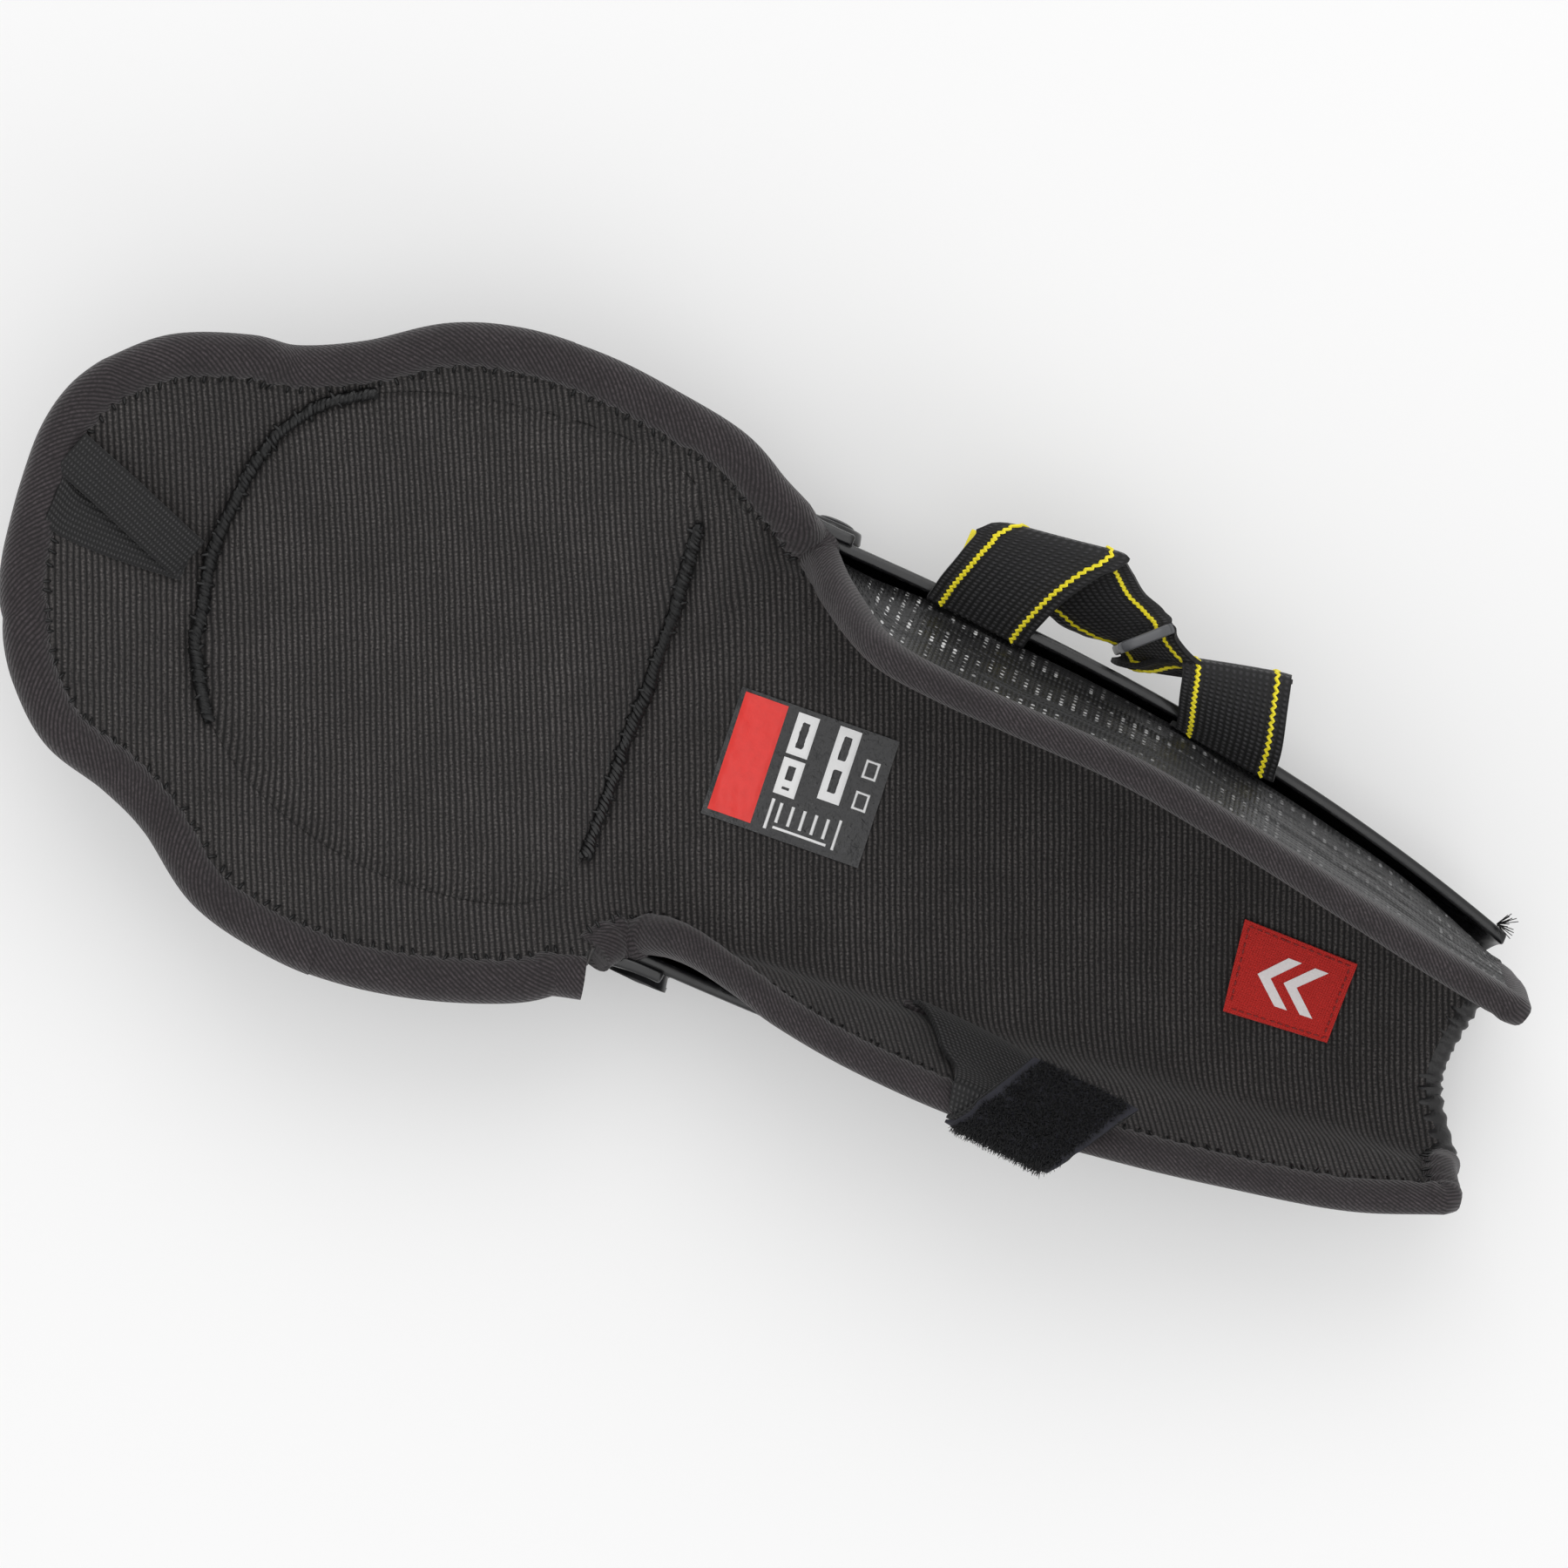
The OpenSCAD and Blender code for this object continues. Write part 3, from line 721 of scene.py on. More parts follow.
def soften(u, v, p, n):
    """Small unevenness of padded cloth: slack folds where the guard bends and puckers beside its bindings."""
    x, arc = p[:, 0], across(u, v)
    h = 0.35 * wander(x + 0.3 * arc, 3, 21) * wander(arc, 5, 17)
    rim = np.minimum(v, 6 - v)
    run = x + 0.6 * arc
    tight = 0.25 + ease(0.5, 1, np.exp(-((x + 92) / 16) ** 2)) + ease(0.4, 1, np.exp(-((x - 68) / 14) ** 2))
    pucker = np.sin(run / 0.62 + 2 * wander(run, 8, 6)) * (0.6 + 0.4 * wander(run, 9, 9))
    h += 0.45 * tight * ease(0.75, 0.2, rim) * pucker
    bend = np.exp(-((x - 62) / 7) ** 2)
    h -= 1.1 * bend * ease(55, 20, np.abs(arc + 4))
    flank = ease(0.24, 0.36, v) * ease(0.98, 0.8, v) * ease(-16, 2, x) * ease(66, 52, x)
    h += 0.55 * flank * np.maximum(np.sin((x - 0.25 * arc) / 0.42 + wander(arc, 12, 9)), -0.3)
    side_folds = ease(24, 38, arc) * np.exp(-((x - 60) / 15) ** 2)
    h += 0.9 * side_folds * np.sin((x + 0.35 * arc) / 1.9)
    return p + n * h[:, None]


def cloth_slab(name, u0, u1, v0, v1, top, low, mat, step=1.5, sag=True):
    """Closed layer of the padded lining between two depths, over a range of its surface."""
    rail = lining_point(np.linspace(u0, u1, 60), (v0 + v1) / 2)
    n = max(8, int(length_of(rail) / step))
    span = lining_point((u0 + u1) / 2, np.linspace(v0, v1, 60))
    m = max(6, int(length_of(span) / step))

    def place(a, b, s):
        u, v = mix(u0, u1, a), mix(v0, v1, b)
        p, nrm = lining_point(u, v), lining_normal(u, v)
        arc = across(u, v)
        uv = cloth_uv(p[:, 0], arc)
        if sag:
            p = soften(u, v, p, nrm)
        thin = 1 - 0.64 * ease(1.9, 1.2, np.minimum(v, 6 - v)) * ease(11.6, 13, u)
        return p + nrm * mix(low * thin, top, s)[:, None], uv

    return slab(name, n, m, place, mat)


def blend_wing(obj):
    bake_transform(obj)


def blend_thigh(obj):
    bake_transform(obj)


def blend_knee(obj):
    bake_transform(obj)


class OBJECT_OT_shin_guard_lining(bpy.types.Operator):
    """Builds the padded lining from the hem to the ankle, split where the guard bends"""

    bl_idname = "object.shin_guard_lining"
    bl_label = "Lining"

    def execute(self, context):
        mat = lining_knit()
        deep = -sizes().lining_thickness / MM
        parts = [
            ("lining_thigh_knee", 0, KNEE_SPLIT, 0, 6, ("thigh_liner", "knee_liner")),
            ("lining_knee_shin", KNEE_SPLIT, WAIST_U, 0, 6, ()),
            ("lining_shin", WAIST_U, LAST, FOLD_L, FOLD_R, ("shin_liner",)),
            ("lining_wing_left", WAIST_U, LAST, 0, FOLD_L, ("left_wing_liner",)),
            ("lining_wing_right", WAIST_U, LAST, FOLD_R, 6, ("right_wing_liner",)),
        ]
        made = {}
        for name, u0, u1, v0, v1, nodes in parts:
            obj = made[name] = cloth_slab(name, u0, u1, v0, v1, 0, deep, mat)
            if nodes:
                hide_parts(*nodes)
        blend_thigh(made["lining_thigh_knee"])
        blend_knee(made["lining_knee_shin"])
        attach(made["lining_shin"], "shin")
        blend_wing(made["lining_wing_left"])
        blend_wing(made["lining_wing_right"])
        return {"FINISHED"}


def wing_cover(side, mat):
    """Outer cloth of a wing, from its rolled rim down to the wall of the shin plate."""
    top_v, name = (0, "left") if side == LEFT else (6, "right")

    def place(a, b, s):
        u = mix(WAIST_U - 0.1, LAST - 0.02, a)
        rim = lining_point(u, top_v)
        x = rim[:, 0]
        foot_y = side * (shin_w(x) - 5.6)
        foot = np.stack([x - 2 * ease(230, 268, x) * 3, foot_y, np.full_like(x, 29.5)], 1)
        start = rim + np.array([0, side * 2.7, -1.0])
        mid = (start + foot) / 2 + np.stack([0 * x, side * (1.5 + 0 * x), -3.5 + 0 * x], 1)
        t = b[:, None]
        p = start * (1 - t) ** 2 + 2 * mid * t * (1 - t) + foot * t**2
        drop = b * np.linalg.norm(start - foot, axis=1)
        ribs = 0.35 * np.sin(drop / 0.55) * ease(0.06, 0.2, b) * ease(1, 0.9, b)
        out = unit(np.stack([0 * x, start[:, 2] - foot[:, 2], np.abs(foot[:, 1] - start[:, 1])], 1) * [1, side, 1])
        p = p + out * (ribs + 0.5 * wander(x, 6, 14) + mix(-0.9, 0.7, s))[:, None]
        return p, np.stack([x, drop], 1)

    return slab(f"wing_cover_{name}", 130, 30, place, mat)


def wall_rise(part):
    """Height of a plate's wall, as a share of its depth, at a share of its half width."""
    return 1 - np.cbrt(np.maximum(1 - np.abs(part) ** 3, 0))


class OBJECT_OT_shin_guard_covers(bpy.types.Operator):
    """Builds the outer cloth behind the lining and the foam pads between it and the plates"""

    bl_idname = "object.shin_guard_covers"
    bl_label = "Covers and foam"

    def execute(self, context):
        cloth = twill_material("cover cloth", shade(9, 9, 10), shade(44, 43, 45), 0.0009)
        deep = -sizes().lining_thickness / MM

        def cover(name, u0, u1):
            return cloth_slab(name, u0, u1, 0.06, 5.94, deep - COVER_GAP, deep - COVER_DEEP, cloth, 2.4)

        thigh = cover("cover_thigh_knee", 0, KNEE_SPLIT)
        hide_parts("thigh_plate", "thigh_cover", "knee_cover")
        blend_thigh(thigh)
        knee = cover("cover_knee_shin", KNEE_SPLIT, WAIST_U - 0.5)
        blend_knee(knee)
        for side, body in ((LEFT, "left_wing"), (RIGHT, "right_wing")):
            obj = wing_cover(side, mesh_material("dotted mesh"))
            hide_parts(f"{body}_cover", f"{body}_plate")
            blend_wing(obj)
        foam = speckled("grey foam", shade(92, 92, 96), 0.9, 0.0011, 0.3, 0.0004)

        def knee_place(a, b, s):
            x = mix(-42, 49, a)
            half = np.where(x < -20, 42, 46)
            y = (2 * b - 1) * half
            wall = cap_w(x) - 3
            low = cap_k(x) + 3.15 + (cap_rim(x) - cap_k(x) - 3) * wall_rise(y / wall)
            high = bowl_at(x, y) + deep - 3.2
            return np.stack([x, y, mix(low, np.maximum(high, low + 0.8), s)], 1), np.stack([x, y], 1)

        pad = slab("foam_knee", 30, 30, knee_place, foam)

        def shin_place(a, b, s):
            x = mix(100, 232, a)
            half = hinge_y(x) - 14
            y = (2 * b - 1) * half
            wall = shin_w(x) - 3
            low = 8.65 + (shin_d(x) - 3) * wall_rise(y / wall)
            high = 20.7 + deep + 5 * (y / half) ** 2
            return np.stack([x, y, mix(low, np.maximum(high, low + 0.8), s)], 1), np.stack([x, y], 1)

        shin = slab("foam_shin", 34, 20, shin_place, foam)
        for obj, body, node in ((pad, "knee", "knee_foam"), (shin, "shin", "shin_foam")):
            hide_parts(node)
            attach(obj, body)
        return {"FINISHED"}


def rim_line(path, spacing=0.9, deep=3.2, upright=0.6):
    """Evenly spaced points, with the cloth's upward direction, along (u, v) stations of the lining's edge."""
    path = np.asarray(path, float)
    steps = max(2, int(60 * len(path)))
    uv = along(np.linspace(0, len(path) - 1, steps), np.arange(len(path)), path)
    p, n = lining_point(uv[:, 0], uv[:, 1]), lining_normal(uv[:, 0], uv[:, 1])
    p = p - n * mix(upright, deep, ease(0.35, 0.9, n[:, 2]))[:, None]
    run = run_of(p)
    at = np.linspace(0, run[-1], max(4, int(run[-1] / spacing)))
    both = np.hstack([p, n])
    both = along(at, run, both)
    return both[:, :3], unit(both[:, 3:])


def bend_of(line, reach=8):
    """How sharply a line turns at each point, in turns per ten millimetres."""
    d = unit(np.gradient(line, axis=0))
    turn = np.linalg.norm(d[reach:] - d[:-reach], axis=1)
    turn = np.concatenate([np.full(reach // 2, turn[0]), turn, np.full(reach - reach // 2, turn[-1])])
    return np.convolve(turn, np.ones(9) / 9, "same")


def binding(name, line, ups, seed, flat, narrow, gather, mat):
    """Rolled tape round a cloth edge: flattened, puckered along its inner stitched side and at tight turns."""
    radius = sizes().binding_radius / MM
    bend = bend_of(line)
    run_at = run_of(line)

    def shape(run, turn):
        c, s = np.cos(turn), np.sin(turn)
        p, q = np.sign(c) * np.abs(c) ** 0.86, np.sign(s) * np.abs(s) ** 0.86
        sharp = ease(0.25, 0.8, np.interp(run, run_at, bend))
        phase = run / (0.68 + 0.12 * wander(run, seed + 2, 30))
        pucker = np.sin(phase + 1.2 * wander(run, seed, 5)) * (0.6 + 0.4 * wander(run, seed + 1, 11))
        inner = ease(0.25, -0.75, p) * ease(-0.5, 0.2, q)
        swell = 1 + 0.07 * inner * pucker + (0.075 * sharp + gather) * pucker * ease(-0.9, 0.4, q)
        swell = (swell + 0.035 * wander(run, seed + 4, 26)) * np.interp(run, run_at, narrow)
        seam = 1 - 0.13 * np.exp(-((turn - math.pi * 0.74) / 0.16) ** 2)
        return p * swell * (1.0 + 0.05 * inner), q * flat * swell * seam

    return tube(name, line, radius, mat or binding_twill(), ups, 20, shape)


def stitch_row(name, line, ups, side, reach, radius, pitch, seed, mat):
    """Short thread stitches set across an edge, one every pitch, each a small bent bar."""
    d, across_dir, up = frames(line, ups)
    across_dir = across_dir * side
    run = run_of(line)
    count = int(run[-1] / pitch)
    bm = bmesh.new()
    rng = random.Random(seed)
    for k in range(count):
        at = (k + 0.5 + rng.uniform(-0.2, 0.2)) * pitch
        i = int(np.clip(np.searchsorted(run, at), 0, len(line) - 1))
        lean = rng.uniform(-0.5, 0.5)
        axis = unit(across_dir[i] + lean * d[i] - 0.15 * up[i])
        centre = line[i] + across_dir[i] * rng.uniform(-0.25, 0.25) * reach
        made = bmesh.ops.create_uvsphere(bm, u_segments=6, v_segments=5, radius=1)["verts"]
        side_dir = unit(np.cross(axis, up[i]))
        top = np.cross(side_dir, axis)
        size = reach * rng.uniform(0.8, 1.25)
        for v in made:
            p, q, r = v.co
            v.co = Vector(centre + axis * r * size + side_dir * p * radius + top * radius * (q - 0.35 * r * r))
    return from_bmesh(name, bm, mat, 60)


class OBJECT_OT_shin_guard_bindings(bpy.types.Operator):
    """Builds the rolled bindings round the lining's edge and their stitches"""

    bl_idname = "object.shin_guard_bindings"
    bl_label = "Bindings"

    def execute(self, context):
        thread = black_thread()
        rim_us = lambda a, b, v: [(u, v) for u in np.linspace(a, b, max(2, int(abs(b - a) * 3) + 1))]
        hem = rim_us(KNEE_SPLIT, 0, 0) + [(0, v) for v in np.linspace(0, 6, 13)[1:-1]] + rim_us(0, KNEE_SPLIT, 6)

        def add(name, line, ups, seed, nodes=(), flat=0.86, gather=0.0, mat=None):
            slim = 1 - 0.2 * ease(74, 92, line[:, 0])
            obj = binding(name, line, ups, seed, flat, slim, gather, mat)
            if nodes:
                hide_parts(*nodes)
            _, side, up = frames(line, ups)
            radius = sizes().binding_radius / MM
            seam = line - side * (radius * 0.93 * slim)[:, None] + up * (radius * 0.62 * slim)[:, None]
            rows = stitch_row(name + "_stitches", seam, up, -1, 1.25, 0.42, 3.4, seed, thread)
            return obj, rows

        line, ups = rim_line(hem)
        for obj in add("binding_thigh_knee", line, ups, 11, nodes=("thigh_binding", "knee_binding")):
            blend_thigh(obj)
        line, ups = rim_line(rim_us(11.75, KNEE_SPLIT, 0))
        for obj in add("binding_knee_left", line, ups, 21):
            blend_knee(obj)
        line, ups = rim_line(rim_us(KNEE_SPLIT, 10.0, 6))
        tail = even([line[-1], line[-1] + (3.6, 1.1, -0.8), line[-1] + (7.8, 2.2, -1.2)], 12)[1:]
        line = np.vstack([line, tail])
        ups = np.vstack([ups, np.tile(ups[-1], (len(tail), 1))])
        for obj in add("binding_knee_right", line, ups, 31):
            blend_knee(obj)
        corner = [(LAST, v) for v in (0.35, 0.8, 1.3, 1.8)]
        line, ups = rim_line(corner[::-1] + rim_us(LAST, 11.55, 0))
        for obj in add("binding_wing_left", line, ups, 41, nodes=("left_wing_binding",)):
            blend_wing(obj)
        corner = [(LAST, v) for v in (5.65, 5.2, 4.7, 4.2)]
        line, ups = rim_line(rim_us(11.0, LAST, 6) + corner)
        for obj in add("binding_wing_right", line, ups, 51, nodes=("right_wing_binding",)):
            blend_wing(obj)
        line, ups = rim_line([(LAST, v) for v in np.linspace(4.15, 1.85, 9)])
        for obj in add("binding_ankle", line, ups, 61, nodes=("ankle_binding",), flat=0.75, gather=0.13,
                       mat=speckled("ankle satin", shade(22, 21, 22), 0.42, 0.0009, 0.5, 0.0003)):
            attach(obj, "shin")
        return {"FINISHED"}


# ---------------------------------------------------------------- knee pillow

PILLOW = [(-58, -29), (-63, -8), (-63, 10), (-60, 24), (-50, 38.5), (-29, 50), (-4, 56), (21, 58.5), (37, 55.5),
          (41.5, 50), (43.5, 36), (45.5, 12), (46.8, -13), (48.5, -32), (47.8, -46), (39, -55.5), (20, -61),
          (-3, -62), (-28, -56.5), (-47, -45)]
PILLOW_CENTRE = (-6, -2)


def pillow_outline(count=360):
    line = even(np.array(PILLOW + PILLOW[:1], float), count + 1)
    return line


def pillow_reach(angle):
    line = pillow_outline()[:-1] - PILLOW_CENTRE
    a = np.arctan2(line[:, 1], line[:, 0])
    order = np.argsort(a)
    a, r = a[order], np.linalg.norm(line, axis=1)[order]
    return np.interp(angle, np.concatenate([a - 2 * np.pi, a, a + 2 * np.pi]), np.tile(r, 3))


def bowl_arc(x, y):
    y = y - pad_mid(x)
    return y + 2 / 3 * (bowl_h(x) / pad_w(x) ** 2) ** 2 * y**3


def bowl_normal(x, y):
    e = 0.5
    dx = (bowl_at(x + e, y) - bowl_at(x - e, y)) / (2 * e)
    dy = (bowl_at(x, y + e) - bowl_at(x, y - e)) / (2 * e)
    return unit(np.stack([-dx, -dy, np.ones_like(dx)], -1))


def swell(obj, held, frames_run, pressure, cap):
    """Blows a pad up a little as cloth, its held points staying put and the others moving no more than cap."""
    before = np.empty(len(obj.data.vertices) * 3)
    obj.data.vertices.foreach_get("co", before)
    group = obj.vertex_groups.new(name="held")
    group.add([int(i) for i in np.nonzero(held)[0]], 1.0, "REPLACE")
    cloth = obj.modifiers.new("swell", "CLOTH")
    cloth.settings.quality = 6
    cloth.settings.mass = 0.25
    cloth.settings.tension_stiffness = cloth.settings.compression_stiffness = 12
    cloth.settings.bending_stiffness = 0.4
    cloth.settings.vertex_group_mass = "held"
    cloth.settings.use_pressure = True
    cloth.settings.uniform_pressure_force = pressure
    cloth.settings.effector_weights.gravity = 0
    cloth.collision_settings.use_collision = False
    scene = bpy.context.scene
    for f in range(1, frames_run + 1):
        scene.frame_set(f)
    deps = bpy.context.evaluated_depsgraph_get()
    after = np.empty(len(before))
    obj.evaluated_get(deps).data.vertices.foreach_get("co", after)
    obj.modifiers.remove(cloth)
    obj.vertex_groups.remove(group)
    scene.frame_set(1)
    move = (after - before).reshape(-1, 3)
    far = np.linalg.norm(move, axis=1, keepdims=True)
    if not np.isfinite(far).all():
        raise RuntimeError("the knee pillow's cloth run went wrong")
    move *= np.minimum(1, cap * MM / np.maximum(far, 1e-9))
    obj.data.vertices.foreach_set("co", (before + move.ravel()).astype(np.float32))
    obj.data.update()


def rope(name, line, ups, radius, pitch, mat, seed):
    """Twisted overlock seam: three soft strands wound round a line, drawn in at every stitch."""
    run = run_of(line)
    _, side, up = frames(line, ups)
    strands = []
    for k in range(3):
        turn = 2 * np.pi * (run / pitch + k / 3) + 0.5 * wander(run, seed + k, 6)
        reach = radius * (0.62 + 0.3 * wander(run, seed + 7 + k, 4))
        path = line + side * (np.cos(turn) * reach)[:, None] + up * (np.sin(turn) * reach * 0.8)[:, None]
        strands.append(tube(f"{name}_{k}", path, radius * 0.6, mat, up, 7))
    return join(name, strands)


class OBJECT_OT_shin_guard_pillow(bpy.types.Operator):
    """Builds the knee pillow and the overlock seams that hold it"""

    bl_idname = "object.shin_guard_pillow"
    bl_label = "Knee pillow"

    def execute(self, context):
        height = sizes().pillow_height / MM

        def place(a, b, s):
            p, q = 2 * a - 1, 2 * b - 1
            r = np.maximum(np.abs(p), np.abs(q))
            angle = np.arctan2(q, p)
            reach = pillow_reach(angle) - 0.6
            x = PILLOW_CENTRE[0] + r * reach * np.cos(angle)
            y = PILLOW_CENTRE[1] + r * reach * np.sin(angle)
            edge = (1 - r) * reach
            crown = (1 - np.exp(-edge / 3.6)) * height + 1.6 * (1 - r**2)
            crown *= 1 - 0.42 * ease(34, 56, y) * ease(-40, 10, x)
            folds = 0.35 * ease(16, 3, edge) * np.sin(angle * reach / 0.8 + 2 * wander(angle * reach, 4, 7))
            folds = folds * (0.6 + 0.4 * wander(angle * reach, 6, 9))
            h = 0.4 + s * (crown + folds + 0.4 * wander(x, 2, 19) * wander(y, 3, 23))
            n = bowl_normal(x, y)
            point = np.stack([x, y, bowl_at(x, y)], 1) + n * h[:, None]
            return point, cloth_uv(x, bowl_arc(x, y))

        obj = slab("knee_pillow", 84, 84, place, lining_knit(), 60)
        co = np.empty(len(obj.data.vertices) * 3)
        obj.data.vertices.foreach_get("co", co)
        x, y, z = (co.reshape(-1, 3) / MM).T
        angle = np.arctan2(y - PILLOW_CENTRE[1], x - PILLOW_CENTRE[0])
        r = np.hypot(x - PILLOW_CENTRE[0], y - PILLOW_CENTRE[1]) / pillow_reach(angle)
        low = z < bowl_at(x, y) + 1.0
        swell(obj, (r > 0.965) | low, 12, 3.0, sizes().pillow_swell / MM)
        fine = obj.modifiers.new("fine", "SUBSURF")
        fine.levels = fine.render_levels = 1
        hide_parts("knee_pad")
        blend_thigh(obj)
        thread = black_thread()
        outline = pillow_outline(420)
        spans = {"pillow_seam_left": (-0.05, 0.21), "pillow_seam_right": (0.445, 0.665)}
        for seed, (name, (t0, t1)) in enumerate(spans.items()):
            at = np.linspace(t0, t1, 300) % 1 * (len(outline) - 1)
            xy = along(at, np.arange(len(outline)), outline)
            n = bowl_normal(xy[:, 0], xy[:, 1])
            path = np.hstack([xy, bowl_at(xy[:, 0], xy[:, 1])[:, None]]) + n * 1.9
            run = run_of(path)
            side = unit(np.cross(np.gradient(path, axis=0), n))
            path = path + side * (0.35 * wander(run, 30 + seed, 7))[:, None]
            seam = rope(name, path, n, 1.35, 3.4, thread, 3 + seed)
            loops = stitch_row(name + "_loops", path + n * 0.5, n, -1, 2.3, 0.62, 3.9, 70 + seed, thread)
            for piece in (seam, loops):
                blend_thigh(piece)
        return {"FINISHED"}


# ---------------------------------------------------------------- plates

def relief_shin(x, y):
    """Side grooves on the outside of the shin plate, in millimetres outwards."""
    body = ease(86, 96, x) * ease(246, 236, x)
    groove = np.exp(-((np.abs(y) - mix(24, 15, (x - 90) / 150)) / 1.5) ** 2)
    return -1.1 * body * groove


def relief_cap(x, y):
    """Raised round face and the groove about it on the knee cap, in millimetres outwards."""
    r = np.hypot(x - 6, y * 0.92)
    return 0.9 * ease(27, 24, r) * ease(0, 6, r + 2) - 0.9 * np.exp(-((r - 45) / 1.6) ** 2)


def shell_slab(name, n, m, surface, relief, mat):
    """Moulded plate: inner and outer faces, with its edges rounded."""

    def place(a, b, s):
        angle = mix(-math.pi / 2, math.pi / 2, b)
        outer = surface(a, angle, 0.0)
        inner = surface(a, angle, SHELL_WALL)
        out = unit(outer - inner)
        p = np.where(s[:, None] > 0.5, outer + out * relief(outer[:, 0], outer[:, 1])[:, None], inner)
        return p, outer[:, :2]

    obj = slab(name, n, m, place, mat, 45)
    bm = bmesh.new()
    bm.from_mesh(obj.data)
    rim = [e for e in bm.edges if len(e.link_faces) == 2 and e.calc_face_angle(0) > 1.0]
    bmesh.ops.bevel(bm, geom=rim, offset=0.7 * MM, affect="EDGES", segments=2, profile=0.5, material=-1,
                    clamp_overlap=True)
    bm.to_mesh(obj.data)
    bm.free()
    obj.data.shade_smooth()
    obj.data.set_sharp_from_angle(angle=math.radians(45))
    return obj


def shin_surface(a, angle, inset):
    s = np.sin(angle)
    c = np.maximum(np.cos(angle), 0)
    x = mix(66 - 6 * np.abs(s) ** 6, 254 + 6 * s**2, a)
    return np.stack([x, (shin_w(x) - inset) * np.sign(s) * np.abs(s) ** (2 / 3),
                     5.5 + inset + (shin_d(x) - inset) * (1 - c ** (2 / 3))], 1)


def cap_surface(a, angle, inset):
    s = np.sin(angle)
    c = np.maximum(np.cos(angle), 0)
    x = mix(-56, 84 - 6.5 * np.abs(s) ** 8, a)
    return np.stack([x, (cap_w(x) - 3 * ease(44, 74, x) - inset) * np.sign(s) * np.abs(s) ** (2 / 3),
                     cap_k(x) + inset + (cap_rim(x) - cap_k(x) - inset) * (1 - c ** (2 / 3))], 1)


def dome(bm, centre, axis, radius, height, stem, stem_radius):
    """Rivet: domed head and stem, turned about its axis."""
    made = bmesh.ops.create_uvsphere(bm, u_segments=28, v_segments=12, radius=1)["verts"]
    rings = bmesh.ops.create_cone(bm, cap_ends=True, segments=24, radius1=stem_radius, radius2=stem_radius,
                                  depth=stem)["verts"]
    spin = Vector((0, 0, 1)).rotation_difference(Vector(axis)).to_matrix()
    for v in made:
        v.co = Vector((v.co.x * radius, v.co.y * radius, max(v.co.z, -0.12) * height))
    for v in rings:
        v.co.z -= stem / 2
    for v in made + rings:
        v.co = spin @ v.co + Vector(centre)


# The pivots that the knee cap turns on, and the rivets through the shin plate's floor
PIVOT_X, PIVOT_Z, BOSS_Y, PIVOT_Y = 72, 26, 58.4, 60.0
FLOOR_RIVETS = ((92, 20), (242, 13))


